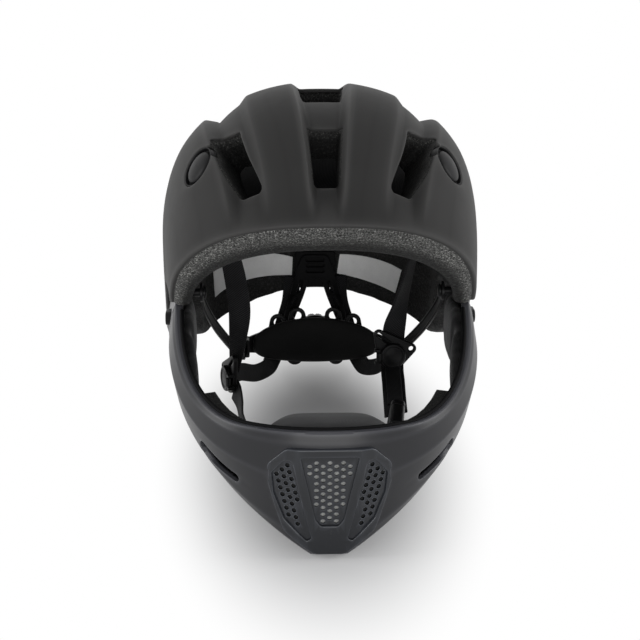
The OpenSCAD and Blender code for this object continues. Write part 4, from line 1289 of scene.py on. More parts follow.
    def openings(self, points: Points) -> list[Points]:
        """Distance of points from each vent's and each cap's opening."""
        found = []
        for vent in CENTRE_VENTS + SIDE_VENTS + tuple(v.mirrored() for v in SIDE_VENTS):
            corners = self.ribbed(*vent.corners().T)
            x = unit(corners[1] + corners[2] - corners[0] - corners[3])
            z = unit(np.cross(x, corners[3] - corners[0]))
            frame = Axes(tuple(corners.mean(0)), tuple(x), tuple(np.cross(z, x)), tuple(z))
            local = frame.local(points)
            distance = distance_to_outline(local[:, :2], frame.local(corners)[:, :2]) - self.vent_corner
            found.append(np.where(np.abs(local[:, 2]) < 40, distance, 60.0))
        for side, _ in SIDES:
            local = self.cap.local(points * [side, 1, 1])
            distance = np.hypot(local[:, 0], local[:, 1]) - self.cap_reach
            found.append(np.where(np.abs(local[:, 2]) < 30, distance, 60.0))
        return found


DOME = Dome()


@dataclass(frozen=True)
class DomeGrid:
    """Grid over the dome that follows its rib lines, past its edge by over degrees."""

    rows: int = 150
    per_rib: tuple[int, ...] = (10, 5, 13, 8, 6, 12, 6, 13, 11, 20)
    over: float = 1.0

    def columns(self) -> Points:
        """Column places from the left edge to the right one."""
        places = [np.array([0.0])]
        for k, count in enumerate(self.per_rib):
            u = np.arange(1, count + 1) / count
            even = 0.5 - 0.5 * np.cos(math.pi * u)
            places.append(k + (even if k < 9 else u * (1 + self.over / 60)))
        right = np.concatenate(places)
        return np.r_[-right[:0:-1], right]

    def cells(self) -> tuple[Points, Points]:
        """Place, angle and column share of every point, and the faces."""
        t = self.columns()
        shares = np.abs(t)
        last = DOME.rear(np.minimum(shares / 10, 1.0)) + self.over
        first = DOME.first - self.over
        p = first + np.linspace(0, 1, self.rows)[:, None] * (last - first)
        tt = np.broadcast_to(shares, p.shape)
        a = DOME.column(tt, p) * np.where(t < 0, -1, 1)
        return np.stack([p.ravel(), a.ravel(), tt.ravel()], 1), grid_faces(self.rows, len(t))


def rolled(
    edge: Points, away: Points, out: Points, radius: Points, depth: Points, drops: int
) -> list[Points]:
    """Rings of a rim that rolls into an opening and ends in a wall.

    Args:
        edge: points where the rim starts.
        away: directions into the opening.
        out: directions out of the surface.
        radius: radius of the rolled part, one number a point.
        depth: depth of the wall, one number a point.
        drops: rings of the wall.

    Returns:
        Points of each ring.
    """
    rings = []
    for step in range(1, 6 + drops):
        turn = math.radians(min(18 * step, 90))
        drop = depth * max(step - 5, 0) / drops
        ring = edge + away * (radius * math.sin(turn))[:, None]
        rings.append(ring - out * (radius * (1 - math.cos(turn)) + drop)[:, None])
    return rings


@dataclass(frozen=True)
class OuterShell:
    """Moulded shell: ribs, channels, rolled lip and vents with rounded rims."""

    wall: float = 0.9
    overhang: float = 1.3
    # Radius and depth of the lip, the vents' rims and the caps' rims
    radii: tuple[float, ...] = (1.5, 1.1, 0.9)
    depths: tuple[float, ...] = (1.4, 1.3, 5.0)

    def build(self) -> bpy.types.Object:
        """Makes the shell."""
        rows, faces = DomeGrid().cells()
        rows, kept, cut = clip(rows, faces, self.level(*rows.T)[0])
        form = Form()
        form.add(DOME.ribbed(*rows.T[:2]), kept)
        p, a, t = rows[np.unique(cut)].T
        kind = self.level(p, a, t)[1]
        dp, da = steps_of(DOME.ribbed, p, a, 0.05)
        uphill = rising(dp, da, *steps_of(lambda u, v: self.level(u, v, t)[0], p, a, 0.08))
        radius, depth = np.choose(kind, self.radii), np.choose(kind, self.depths)
        form.grow(cut, rolled(DOME.ribbed(p, a), -uphill, unit(np.cross(da, dp)), radius, depth, 3))
        return face_out(walled(form.build("outer_shell", SHELL, 50), self.wall))

    def level(self, p: Points, a: Points, t: Points) -> tuple[Points, Points]:
        """Distance from the nearest rim and what it belongs to."""
        lip, vent_round, cap_round = self.radii
        vents = DOME.openings(DOME.ribbed(p, a))
        border = DOME.border(p, a, t) + self.overhang - lip
        options = np.stack([border, np.min(vents[:-2], 0) - vent_round, np.min(vents[-2:], 0) - cap_round])
        return options.min(0), options.argmin(0)


@dataclass(frozen=True)
class FoamLiner:
    """Bead foam inside the shell, with a bulging edge and cut-through vents."""

    inset: float = 1.7
    pocket: float = 5.0
    edge_bulge: float = 3.4
    vent_bulge: float = 0.6
    wall_rows: int = 9
    vent_lit: float = 0.35

    def outer(self, p: Points, a: Points) -> Points:
        """Points on the foam's outside, lower under the caps."""
        height = DOME.relief(p, a) - self.inset
        low = np.min(DOME.openings(DOME.at(p, a, height))[-2:], 0)
        return DOME.at(p, a, height - self.pocket * ease((1.5 - low) / 1.2))

    def inner(self, p: Points, a: Points) -> Points:
        """Points on the cavity, straight below those outside."""
        c = DOME.section(p, DOME.rows)[2]
        radius_in, w_in, c_in, n_in = DOME.section(p, DOME.cavity)

        def straight(angle: Points) -> Points:
            """Angle about the cavity's centre of the point straight below."""
            s, k = np.sin(np.radians(angle)), np.cos(np.radians(angle))
            low, high = np.zeros_like(p), np.full_like(p, 220.0)
            for _ in range(26):
                rho = (low + high) / 2
                x, r = rho * s, c + rho * k - c_in
                up = np.where(r >= 0, radius_in - c_in, DOME.tuck)
                far = (np.abs(x) / w_in) ** n_in + (np.abs(r) / up) ** n_in > 1
                high, low = np.where(far, rho, high), np.where(far, low, rho)
            return np.degrees(np.arctan2(low * s, c + low * k - c_in))

        edge, fold = DOME.edge(p), DOME.rib_angles(p)[..., 9]
        t = np.clip((np.abs(a) - fold) / (edge - fold), 0, None)
        miss = DOME.edge(p, DOME.cavity) - straight(edge)
        below = straight(np.abs(a)) + miss * t**2
        return DOME.at(p, below * np.sign(a), 0.0, DOME.cavity)

    def level(self, p: Points, a: Points, t: Points) -> tuple[Points, Points]:
        """Distance from the nearest edge of the foam and whether it is a vent's."""
        vents = DOME.openings(DOME.ribbed(p, a))
        options = np.stack([DOME.border(p, a, t) - 0.6, np.min(vents[:-2], 0) - 0.7])
        return options.min(0), options.argmin(0)

    def lit(self, share: float, brim: Points) -> Points:
        """How lit the foam is painted at a share of its thickness: fully lit on the brim's outer side, dimmer
        on the vents' outer side, and painted shade deeper in.
        """
        at_brim = 1 - 0.92 * ease((share - 0.30) / 0.36)
        return np.where(brim, at_brim, self.vent_lit * (1 - ease(share / 0.35)))

    def build(self) -> bpy.types.Object:
        """Makes the liner."""
        rows, faces = DomeGrid(100, (6, 3, 7, 5, 4, 7, 4, 7, 7, 12), 0.8).cells()
        rows, kept, cut = clip(rows, faces, self.level(*rows.T)[0])
        outer, inner = (side(*rows.T[:2]) for side in (self.outer, self.inner))
        form = Form()
        form.add(outer, kept)
        form.add(inner, [f[::-1] for f in kept])
        ids, n = np.unique(cut), len(rows)
        p, a, t = rows[ids].T
        uphill = rising(
            *steps_of(DOME.at, p, a, 0.05), *steps_of(lambda u, v: self.level(u, v, t)[0], p, a, 0.08)
        )
        brim = self.level(p, a, t)[1] == 0
        bulge = np.where(brim, self.edge_bulge, self.vent_bulge)
        # Painted light of each point: the foam's outside and its cavity are painted in shade, the rims as the
        # lit method gives
        lit = [np.zeros(2 * n)]
        lit[0][ids] = self.lit(0.0, brim)
        rings = []
        for share in 0.5 - 0.5 * np.cos(math.pi * np.linspace(0, 1, self.wall_rows + 2)[1:-1]):
            out = (1 - np.abs(2 * share - 1) ** 2.6) ** 0.8
            rings.append(mix(outer[ids], inner[ids], share) - uphill * (bulge * out)[:, None])
            lit.append(self.lit(share, brim))
        form.grow(cut, rings, n)
        obj = form.build("foam_liner", FOAM, 60)
        values = obj.data.attributes.new("brim", "FLOAT", "POINT").data
        values.foreach_set("value", np.concatenate(lit).astype(np.float32))
        return face_out(obj)


@dataclass(frozen=True)
class VisorCap:
    """Round cap over the place where a peak would be screwed on."""

    depth: float = 6.0
    profile: tuple = (
        (0, 0),
        (12.7, 0),
        (13.0, 0.3),
        (13.0, 4.5),
        (12.8, 4.9),
        (12.4, 4.9),
        (12.2, 4.5),
        (12.1, 2.2),
        (11.6, 1.7),
        (10.6, 1.9),
        (10.3, 3.6),
        (10.0, 4.5),
        (9.2, 5.1),
        (7.5, 5.75),
        (5, 6.25),
        (2.5, 6.5),
        (0, 6.6),
    )

    def build(self, side: int, label: str) -> bpy.types.Object:
        """Makes the cap of one side."""
        form = Form().lathe(self.profile, DOME.cap.moved(0, 0, -self.depth), 72)
        return (form if side > 0 else form.mirrored()).build(f"visor_cap_{label}", TRIM, 40)


@dataclass(frozen=True)
class ComfortPad:
    """Curved bolster on the cavity's wall."""

    name: str
    place: float
    half_p: float
    half_a: float
    thick: float = 5.0

    def build(self) -> bpy.types.Object:
        """Makes the bolster with its quilting."""
        q = -around(40)
        across, round_by = squarer(np.cos(q), 0.75), squarer(np.sin(q), 0.75)
        rings = []
        for u in np.linspace(-1, 1, 90):
            full = max((1 - abs(u) ** 5), 0.02) ** 0.5
            quilt = 1 - 0.2 * math.exp(-(((abs(u) % 0.34 - 0.17) / 0.02) ** 2))
            d = -self.thick * full * quilt * (0.52 + 0.5 * across) - 0.8
            p, a = self.place + full * self.half_p * round_by, np.full_like(q, u * self.half_a)
            rings.append(DOME.at(p, a, d, DOME.cavity))
        return Form().tube(np.array(rings)).build(self.name, PAD, 70)


@dataclass(frozen=True)
class WallFilm:
    """Thin film on the cavity's wall between four corners, without any print."""

    name: str
    corners: tuple
    lift: float = 0.35
    finish: Finish = FILM

    def build(self) -> bpy.types.Object:
        """Makes the film."""
        rows, cols = 24, 30
        u, v = np.meshgrid(np.linspace(0, 1, cols), np.linspace(0, 1, rows))
        c = np.array(self.corners, float)
        ends = ((mix(c[0, k], c[1, k], u), mix(c[3, k], c[2, k], u)) for k in (0, 1))
        p, a = (mix(near, far, v) for near, far in ends)
        top, low = (DOME.at(p, a, d, DOME.cavity).reshape(-1, 3) for d in (-self.lift, 0.3))
        faces, n = grid_faces(rows, cols).tolist(), rows * cols
        i = np.arange(n).reshape(rows, cols)
        loop = np.r_[i[0], i[1:, -1], i[-1, -2::-1], i[-2:0:-1, 0]].tolist()
        under = [[k + n for k in f[::-1]] for f in faces]
        sides = [[far, near, near + n, far + n] for near, far in zip(loop, loop[1:] + loop[:1])]
        return Form().solid(np.vstack([top, low]), faces + under + sides).build(self.name, self.finish, 60)


FILMS = (
    WallFilm("blank_patch_left", ((139.5, -66.1), (151.0, -12.8), (157.3, -13.9), (153.0, -66.4))),
    WallFilm("blank_patch_right", ((150.0, 14.7), (147.7, 52.7), (158.8, 50.1), (156.8, 13.5))),
    WallFilm("inner_net", ((40, -10), (40, 10), (96, 14), (96, -14)), 1.6, PAD),
    WallFilm("inner_net_right", ((42, 17), (42, 30), (66, 40), (66, 20)), 1.6, PAD),
    WallFilm("inner_net_left", ((42, -30), (42, -17), (66, -20), (66, -40)), 1.6, PAD),
)


# The chin guard


@dataclass(frozen=True)
class BarShape:
    """Path and section of the chin bar; s is 0 at the chin and 140 at the ears."""

    ear_y: float = -46.0
    front_y: float = -164.0
    power: float = 2.2
    half_w: float = 93.0
    flare: float = 7.0
    end: float = 140.0
    low_z: float = 77.0
    top_z: float = 124.6
    chin_top: float = 78.0
    outline: tuple = (
        *((0, 0, -10), (0, 0, -3), (0.1, 0, 0), (0.58, 0, 3)),
        *((0.9, 0, 0.5), (1, 0, -1.5), (1, 0, -6)),
    )

    def arm(self, s: Points) -> tuple[Points, Points]:
        """Place on the dome's lower edge that an arm follows: its y and z."""
        turn = mix(41.5, 118.0, (s - 90) / 50)
        r = smooth_at(DOME.lower, turn, 1)
        angle = np.radians(turn)
        return DOME.ear_y - r * np.cos(angle) - 0.6, DOME.ear_z + r * np.sin(angle) - 0.6

    def top(self, s: Points) -> Points:
        """Height of the upper edge."""
        s = np.abs(s)
        front = self.chin_top + (self.top_z - self.chin_top) * (np.maximum(s - 30, 0) / 60) ** 2
        return np.where(s <= 90, front, np.minimum(self.arm(np.maximum(s, 90))[1], self.top_z))

    def low(self, s: Points) -> Points:
        """Height of the lower edge."""
        u = np.clip((np.abs(s) - 5.5) / 74.5, 0, 1)
        return self.low_z * (1 - (1 - u) ** 1.12)

    def plan(self, s: Points, share: Points) -> tuple[Points, Points]:
        """Plan place at s for a height share."""
        b = np.abs(s)
        rad = np.radians(np.minimum(b, 90))
        reach = self.ear_y - self.front_y - 10 * (1 - share)
        x = self.half_w * np.sin(rad) ** (2 / self.power)
        y = self.ear_y - reach * np.maximum(np.cos(rad), 0) ** (2 / self.power)
        xa = self.half_w + self.flare * (b - 90) / 50
        ya = mix(self.ear_y, self.arm(np.maximum(b, 90))[0], ease((b - 90) / 8))
        return np.sign(s) * np.where(b <= 90, x, xa), np.where(b <= 90, y, ya)

    def outward(self, s: Points, share: Points) -> Points:
        """Level direction pointing out of the bar."""
        b = np.clip(np.abs(s), 0.4, self.end - 0.4)
        (x0, y0), (x1, y1) = (self.plan(b + step, share) for step in (-0.4, 0.4))
        length = np.maximum(np.hypot(x1 - x0, y1 - y0), 1e-9)
        return np.stack([np.sign(s) * (y1 - y0) / length, -(x1 - x0) / length, np.zeros_like(length)], -1)

    def beyond(self, s: Points, share: Points, z: Points, off: Points) -> Points:
        """Point at s, at height z, off outwards of the path at a height share."""
        s, share, z = np.broadcast_arrays(np.asarray(s, float), np.asarray(share, float), z)
        x, y = self.plan(s, share)
        return np.stack([x, y, z], -1) + self.outward(s, share) * np.asarray(off)[..., None]

    def at(self, s: Points, share: Points, lift: Points, off: Points) -> Points:
        """Point at s, a height share, a lift and a distance outwards."""
        z = mix(self.low(s), self.top(s), share) + lift
        return self.beyond(s, share, np.maximum(z, 0.0), off)


BAR = BarShape()


@dataclass(frozen=True)
class GrilleShape:
    """Outline and fold of the chin grille, seen from the front."""

    half: tuple = ((25, 68.4), (35.5, 58), (36, 49), (33, 37), (29, 23.7), (26, 16), (9, 1.6))
    centre: tuple = ((-16.5, 63.5), (16.5, 63.5), (8, 24), (5, 20), (-5, 20), (-8, 24))
    side: tuple = (
        *((21.5, 60.5), (25.5, 61.5), (33, 52.5), (32, 40)),
        *((26, 24), (13, 10.5), (10.5, 12), (16, 34)),
    )
    middle: tuple[float, float] = (0.0, 38.0)
    front_y: float = -165.5
    lean: float = 9.19
    top_z: float = 68.0
    fold_x: float = 18.0
    fold_soft: float = 1.6
    fold_slope: float = 0.389

    def outline(self) -> Points:
        """Whole outline, x and z."""
        right = np.array(self.half, float)
        return round_corners(np.vstack([right, right[::-1] * [-1, 1]]), 2.4, 5)

    def bar_opening(self) -> Points:
        """Opening in the chin bar, a little inside the grille's outline."""
        return np.array(self.middle) + (self.outline() - self.middle) * [0.95, 0.965]

    def depth(self, x: Points, z: Points) -> Points:
        """y of the grille's face: a flat middle, folded back at both sides."""
        past = np.abs(x) - self.fold_x
        soft = self.fold_soft
        over = np.where(past < -soft, 0, np.where(past > soft, past, (past + soft) ** 2 / (4 * soft)))
        slope = math.radians(self.lean)
        return self.front_y + self.fold_slope * over / math.cos(slope) + (self.top_z - z) * math.tan(slope)

    def out(self, x: Points, z: Points) -> Points:
        """Direction out of the grille's face."""
        dx, dz = steps_of(self.depth, x, z, 0.3)
        return unit(np.stack([dx, -np.ones_like(x), dz], 1))

    def bend(self, points: Points) -> Points:
        """Flat points (x, z, height) laid on the folded face."""
        x, z, high = points.T
        return np.stack([x, self.depth(x, z), z], 1) + self.out(x, z) * high[:, None]


GRILLE_SHAPE = GrilleShape()


@dataclass(frozen=True)
class ChinBar:
    """Moulded chin bar with its edges, intakes, creases and grille opening."""

    front_columns: int = 99
    arm_columns: int = 51
    rows: int = 76
    round_by: float = 1.3
    intake: tuple = ((54.0, -141.0, 44.5, 2.9), (72.5, -122.0, 55.5, 4.6))
    crease: tuple = ((42.0, -157.0, 35.0), (57.0, -146.0, 44.0))
    button: tuple = ((-8, 107), (9.2, 5.7))
    rim: float = 0.9
    rim_depth: float = 2.6
    wall: float = 2.6
    height: float = 110.0

    def contour(self) -> Points:
        """Rounded outline of the bar's outside: height share, lift, outward."""
        scaled = np.array(BAR.outline, float) * [self.height, 1, 1]
        line = resample(round_corners(scaled, self.round_by, 6, closed=False), 0.5)
        length, at = np.linspace(0, 1, len(line)), np.linspace(0, 1, self.rows)
        return np.stack([np.interp(at, length, line[:, c]) for c in range(3)], 1) / [self.height, 1, 1]

    def surface(self, s: Points, v: Points) -> Points:
        """Outside of the bar at s and at place v (0 to 1) along its contour."""
        line = self.contour()
        at = np.linspace(0, 1, len(line))
        share, lift, off = (np.interp(v, at, line[:, c]) for c in range(3))
        points = BAR.at(s, share, lift, off)
        t, away = beside(self.rightwards(points), *self.crease)
        groove = 1.6 * (0.5 + 0.5 * t) * ease(1 - away / 6.5)
        return points - groove[..., None] * BAR.outward(s, share)

    @staticmethod
    def rightwards(points: Points) -> Points:
        """Points brought to the helmet's right."""
        return points * np.where(points[..., :1] < 0, [-1, 1, 1], [1, 1, 1])

    def level(self, s: Points, v: Points) -> Points:
        """Distance from the grille's opening, the intakes and the buttons."""
        points = self.surface(s, v)
        near = self.rightwards(points)
        (*a, r0), (*b, r1) = self.intake
        t, away = beside(near, a, b)
        grille = distance_to_outline(points[:, [0, 2]], GRILLE_SHAPE.bar_opening())
        grille = np.where(points[:, 1] < -100, grille, 60.0)
        middle, half = self.button
        button = np.linalg.norm((near[:, 1:] - middle) / half, axis=1)
        return np.min([away - mix(r0, r1, t), grille, (button - 1) * 6], 0)

    def build(self) -> bpy.types.Object:
        """Makes the bar."""
        front = np.linspace(0, 90, self.front_columns)
        arm = np.linspace(90, BAR.end, self.arm_columns + 1)[1:]
        half = np.r_[front, arm]
        line = np.r_[-half[:0:-1], half]
        s, v = np.meshgrid(line, np.linspace(0, 1, self.rows), indexing="ij")
        rows = np.stack([s.ravel(), v.ravel()], 1)
        rows, kept, cut = clip(rows, grid_faces(len(line), self.rows), self.level(*rows.T) - self.rim)
        form = Form()
        form.add(self.surface(*rows.T), kept)
        s, v = rows[np.unique(cut)].T
        edge = self.surface(s, v)
        ds, dv = steps_of(self.surface, s, v, 0.15, 0.004)
        uphill = rising(ds, dv, *steps_of(self.level, s, v, 0.15, 0.004))
        out = unit(np.cross(ds, dv))
        out = out * np.sign((out * (edge - [0, -40, 60])).sum(1))[:, None]
        radius, depth = (np.full(len(edge), size) for size in (self.rim, self.rim_depth))
        rings = rolled(edge, -uphill, out, radius, depth, 2)
        form.grow(cut, [np.maximum(ring, [-np.inf, -np.inf, 0.0]) for ring in rings])
        obj = form.build("chin_bar", GUARD, 55)
        with editing(obj) as work:
            bmesh.ops.recalc_face_normals(work, faces=work.faces)
            middle = Vector(STANCE.place(np.array([0, -60, 60.0])))
            vote = sum((f.calc_center_median() - middle).dot(f.normal) * f.calc_area() for f in work.faces)
            if vote < 0:
                bmesh.ops.reverse_faces(work, faces=work.faces)
        obj = walled(obj, self.wall)
        co = np.maximum(rows_of(obj.data.vertices, "co"), np.float32([-1, -1, 0]))
        obj.data.vertices.foreach_set("co", co.ravel())
        obj.data.update()
        return face_out(obj)


@dataclass(frozen=True)
class ChinGrille:
    """Folded grille: a frame, raised ribs and three perforated panels."""

    pitch: tuple[float, float] = (3.8, 4.35)
    hole: float = 1.5
    margin: float = 2.1
    recess: float = 1.3

    def holes(self, ring: Points, middle: tuple[float, float], turn: float) -> Points:
        """Centres of the holes that fit a panel."""
        c, s = math.cos(math.radians(turn)), math.sin(math.radians(turn))
        found = []
        for i in range(-4, 5):
            for j in range(-8, 9):
                u = i * self.pitch[0]
                v = j * self.pitch[1] + (self.pitch[1] / 2 if i % 2 else 0)
                spot = np.array([middle[0] + c * u + s * v, middle[1] - s * u + c * v])
                if -distance_to_outline(spot[None], ring)[0] > self.margin:
                    found.append(spot)
        return np.array(found)

    def build(self) -> tuple[bpy.types.Object, bpy.types.Object]:
        """Makes the grille, and the rims of its holes."""
        shape = GRILLE_SHAPE
        places = np.r_[np.arange(-36, 37, 3.0), -18.8, -17.2, 17.2, 18.8]
        side = np.array(shape.side, float)
        panels = (
            (np.array(shape.centre, float), (0.0, 42.0), 0.0),
            (side, (23.0, 38.0), 15.0),
            (side * [-1, 1], (-23.0, 38.0), -15.0),
        )
        rings = [round_corners(ring, 1.6, 4) for ring, _, _ in panels]
        spots = [self.holes(ring, middle, turn) for ring, (_, middle, turn) in zip(rings, panels)]
        form = Form().bent_plate([shape.outline()] + rings, (3.4, 0.7, 3), -1.5, places, shape.bend)
        for ring, found in zip(rings, spots):
            wide = ring.mean(0) + (ring - ring.mean(0)) * 1.03
            holes = [circle(self.hole, 14, tuple(spot)) for spot in found]
            form.bent_plate([wide] + holes, (1.8, 0.25, 2), -self.recess - 0.9, places, shape.bend)
        obj = form.build("chin_grille", GRILLE, 44)
        modify(obj, "WEIGHTED_NORMAL", keep_sharp=True)
        spots = np.vstack(spots)
        sunk = shape.bend(np.c_[spots, np.full(len(spots), -self.recess - 0.05)])
        rims = Scatter("grille_rims", Repeat.RIM, GRILLE, 1.6, 0.16)
        return baked(obj), rims.build(sunk, shape.out(*spots.T), np.tile([1.0, 0.0, 0.0], (len(spots), 1)))


@dataclass(frozen=True)
class CheekPad:
    """Pad on the inside of the chin bar's arm, filled by a short cloth simulation."""

    first: float = 52.0
    last: float = 136.0
    back: float = -3.6
    thick: float = 9.5
    channels: tuple[float, ...] = (0.4, 0.7)
    pressure: float = 3.0
    voxel: float = 0.003
    most_move: float = 0.0012

    def build(self, side: int, label: str) -> bpy.types.Object:
        """Makes the pad: a flat back on the foam and a full, channelled face."""
        c, q = np.cos(around(120)), np.sin(around(120))
        rings = []
        for s in np.linspace(self.first, self.last, 60):
            u = (s - self.first) / (self.last - self.first)
            low, high = BAR.low(s) + 5, BAR.top(s) - 4.5
            end = (1 - np.abs(2 * u - 1) ** 7) ** (1 / 2.4)
            dent = sum(0.42 * math.exp(-(((u - k) / 0.022) ** 2)) for k in self.channels)
            half = max((high - low) / 2 * max(end, 0.12), 1.0)
            full = self.thick * mix(0.35, 1.0, float(ease(u / 0.3))) * max(end, 0.15) * (1 - dent)
            z = (low + high) / 2 + half * squarer(c, 0.55)
            rings.append(BAR.beyond(s * side, 0.6, z, self.back - full / 2 + full / 2 * squarer(q, 0.7)))
        return self.filled(Form().tube(np.array(rings)).build(f"cheek_pad_{label}", PAD, 70))

    def filled(self, obj: bpy.types.Object) -> bpy.types.Object:
        """Fills the pad, holding it to its cut."""
        modify(obj, "REMESH", mode="VOXEL", voxel_size=self.voxel)
        baked(obj)
        start = rows_of(obj.data.vertices, "co")
        cloth = modify(obj, "CLOTH")
        settings = {
            "use_pressure": True,
            "uniform_pressure_force": self.pressure,
            "tension_stiffness": 12,
            "bending_stiffness": 1.2,
            "quality": 4,
        }
        for key, value in settings.items():
            setattr(cloth.settings, key, value)
        cloth.settings.effector_weights.gravity = 0
        cloth.point_cache.frame_start, cloth.point_cache.frame_end = 1, 14
        for frame in range(1, 15):
            bpy.context.scene.frame_set(frame)
        shown = obj.evaluated_get(bpy.context.evaluated_depsgraph_get())
        move = rows_of(shown.to_mesh().vertices, "co") - start
        shown.to_mesh_clear()
        obj.modifiers.clear()
        bpy.context.scene.frame_set(1)
        move *= np.minimum(1, self.most_move / np.maximum(np.linalg.norm(move, axis=1, keepdims=True), 1e-9))
        obj.data.vertices.foreach_set("co", (start + move).ravel())
        obj.data.update()
        modify(obj, "SMOOTH", factor=0.5, iterations=2)
        modify(obj, "SUBSURF", levels=1, render_levels=1)
        baked(obj)
        obj.data.shade_smooth()
        return obj


@dataclass(frozen=True)
class ChinPad:
    """Chin pad: a full cushion with a piped seam under a flat cloth face."""

    half: float = 27.0
    back: float = -17.1
    piping: float = 0.55

    def build(self) -> list[bpy.types.Object]:
        """Makes the cushion and its piping."""
        c, q = np.cos(around(88)), np.sin(around(88))
        rings, seams = [], []
        for s in np.linspace(-self.half, self.half, 70):
            u = s / self.half
            end = max((1 - abs(u) ** 6) ** 0.45, 0.1)
            top, low = 79.5 - 2 * u * u - 3 * abs(u) ** 6, 54 + 2 * u * u + 6 * abs(u) ** 6
            thick = (20 - 4 * u * u) * (0.4 + 0.6 * end)
            mid, half = (top + low) / 2, (top - low) / 2 * (0.35 + 0.65 * end)
            z = mid + half * squarer(c, 0.5)
            rings.append(BAR.beyond(s, 0.8, z, self.back - thick / 2 + thick / 2 * squarer(q, 0.62)))
            seams.append(BAR.beyond(s, 0.8, mid + half * 0.78, self.back - thick * 0.97))
        line = smooth_route(np.array(seams)[3:-3], 1.2)
        cushion = Form().tube(np.array(rings)).build("chin_pad", CHIN_PAD, 70)
        piping = Form().tube(round_tube(line, self.piping, 10))
        return [cushion, piping.build("chin_pad_piping", CHIN_PAD, 60)]


def bar_piping(reach: float = 88.0, radius: float = 1.4) -> bpy.types.Object:
    """Makes the black piping along the inner lip of the chin bar.

    Args:
        reach: how far it goes up both arms, as a place along the bar.
        radius: its radius in millimetres.

    Returns:
        The piping.
    """
    s = np.linspace(-reach, reach, 220)
    line = BAR.at(s, np.ones_like(s), 0.1, -5.6)
    return Form().tube(round_tube(line, radius)).build("bar_piping", BLACK, 60)


# Repeated details, placed by Geometry Nodes


class Repeat(Enum):
    """Shape that is repeated over points."""

    RIM = "rim"
    STITCH = "stitch"
    RIB = "rib"


def dressed(obj: bpy.types.Object, finish: Finish) -> bpy.types.Object:
    """Gives an object one finish instead of what it has."""
    obj.data.materials.clear()
    obj.data.materials.append(finish.material())
    return obj


@dataclass(frozen=True)
class Scatter:
    """Copies of a small shape on given places, made by a node tree."""

    name: str
    repeat: Repeat
    finish: Finish
    size: float
    thick: float

    def tree(self) -> tuple[bpy.types.NodeTree, dict[str, str]]:
        """Builds the tree and names its inputs' identifiers."""
        group = bpy.data.node_groups.new(self.name, "GeometryNodeTree")
        sides = group.interface
        sides.new_socket("Geometry", in_out="INPUT", socket_type="NodeSocketGeometry")
        inputs = {}
        for label in ("Size", "Thickness"):
            inputs[label] = sides.new_socket(label, in_out="INPUT", socket_type="NodeSocketFloat").identifier
        sides.new_socket("Geometry", in_out="OUTPUT", socket_type="NodeSocketGeometry")
        tree = Tree(group)
        sockets = ("Geometry", "Size", "Thickness")
        start, size, thick = (tree.node("NodeGroupInput", out=label) for label in sockets)
        round_curve, by_radius = "GeometryNodeCurvePrimitiveCircle", {"mode": "RADIUS"}
        section = tree.node(round_curve, by_radius, {"Resolution": 6, "Radius": thick})
        if self.repeat is Repeat.RIM:
            path = tree.node(round_curve, by_radius, {"Resolution": 16, "Radius": size})
        else:
            near, far = (tree.node("ShaderNodeCombineXYZ", {}, {0: size * half}) for half in (-0.5, 0.5))
            middle = tree.node("ShaderNodeCombineXYZ", {}, {2: thick * 0.9})
            ends = {"Resolution": 4, "Start": near, "Middle": middle, "End": far}
            path = tree.node("GeometryNodeCurveQuadraticBezier", {}, ends)
        swept = {"Curve": path, "Profile Curve": section, "Fill Caps": True}
        shape = tree.node("GeometryNodeCurveToMesh", {}, swept)
        aim, along = (
            tree.node("GeometryNodeInputNamedAttribute", {"data_type": "FLOAT_VECTOR"}, {"Name": name})
            for name in ("aim", "along")
        )
        align = "FunctionNodeAlignRotationToVector"
        first = tree.node(align, {"axis": "Z"}, {"Vector": aim})
        turn = tree.node(align, {"axis": "X", "pivot_axis": "Z"}, {"Rotation": first, "Vector": along})
        placing = {"Points": start, "Instance": shape, "Rotation": turn}
        copies = tree.node("GeometryNodeInstanceOnPoints", {}, placing)
        real = tree.node("GeometryNodeRealizeInstances", {}, {"Geometry": copies})
        look = {"Geometry": real, "Material": self.finish.material()}
        done = tree.node("GeometryNodeSetMaterial", {}, look)
        tree.node("NodeGroupOutput", {}, {0: done})
        return group, inputs

    def build(self, points: Points, aims: Points, alongs: Points) -> bpy.types.Object:
        """Makes the copies.

        Args:
            points: upright places in millimetres.
            aims: upright directions that the copies stand on.
            alongs: upright directions that the copies point in.

        Returns:
            One plain mesh with all copies.
        """
        mesh = bpy.data.meshes.new(self.name)
        mesh.from_pydata(STANCE.place(points), [], [])
        for label, rows in (("aim", aims), ("along", alongs)):
            layer = mesh.attributes.new(label, "FLOAT_VECTOR", "POINT")
            layer.data.foreach_set("vector", STANCE.turn(unit(rows)).astype(np.float32).ravel())
        obj = placed(self.name, mesh)
        group, inputs = self.tree()
        modifier = modify(obj, "NODES", node_group=group)
        modifier[inputs["Size"]] = self.size * MM
        modifier[inputs["Thickness"]] = self.thick * MM
        dressed(baked(obj), self.finish)
        obj.data.shade_smooth()
        return obj


# Straps and bands


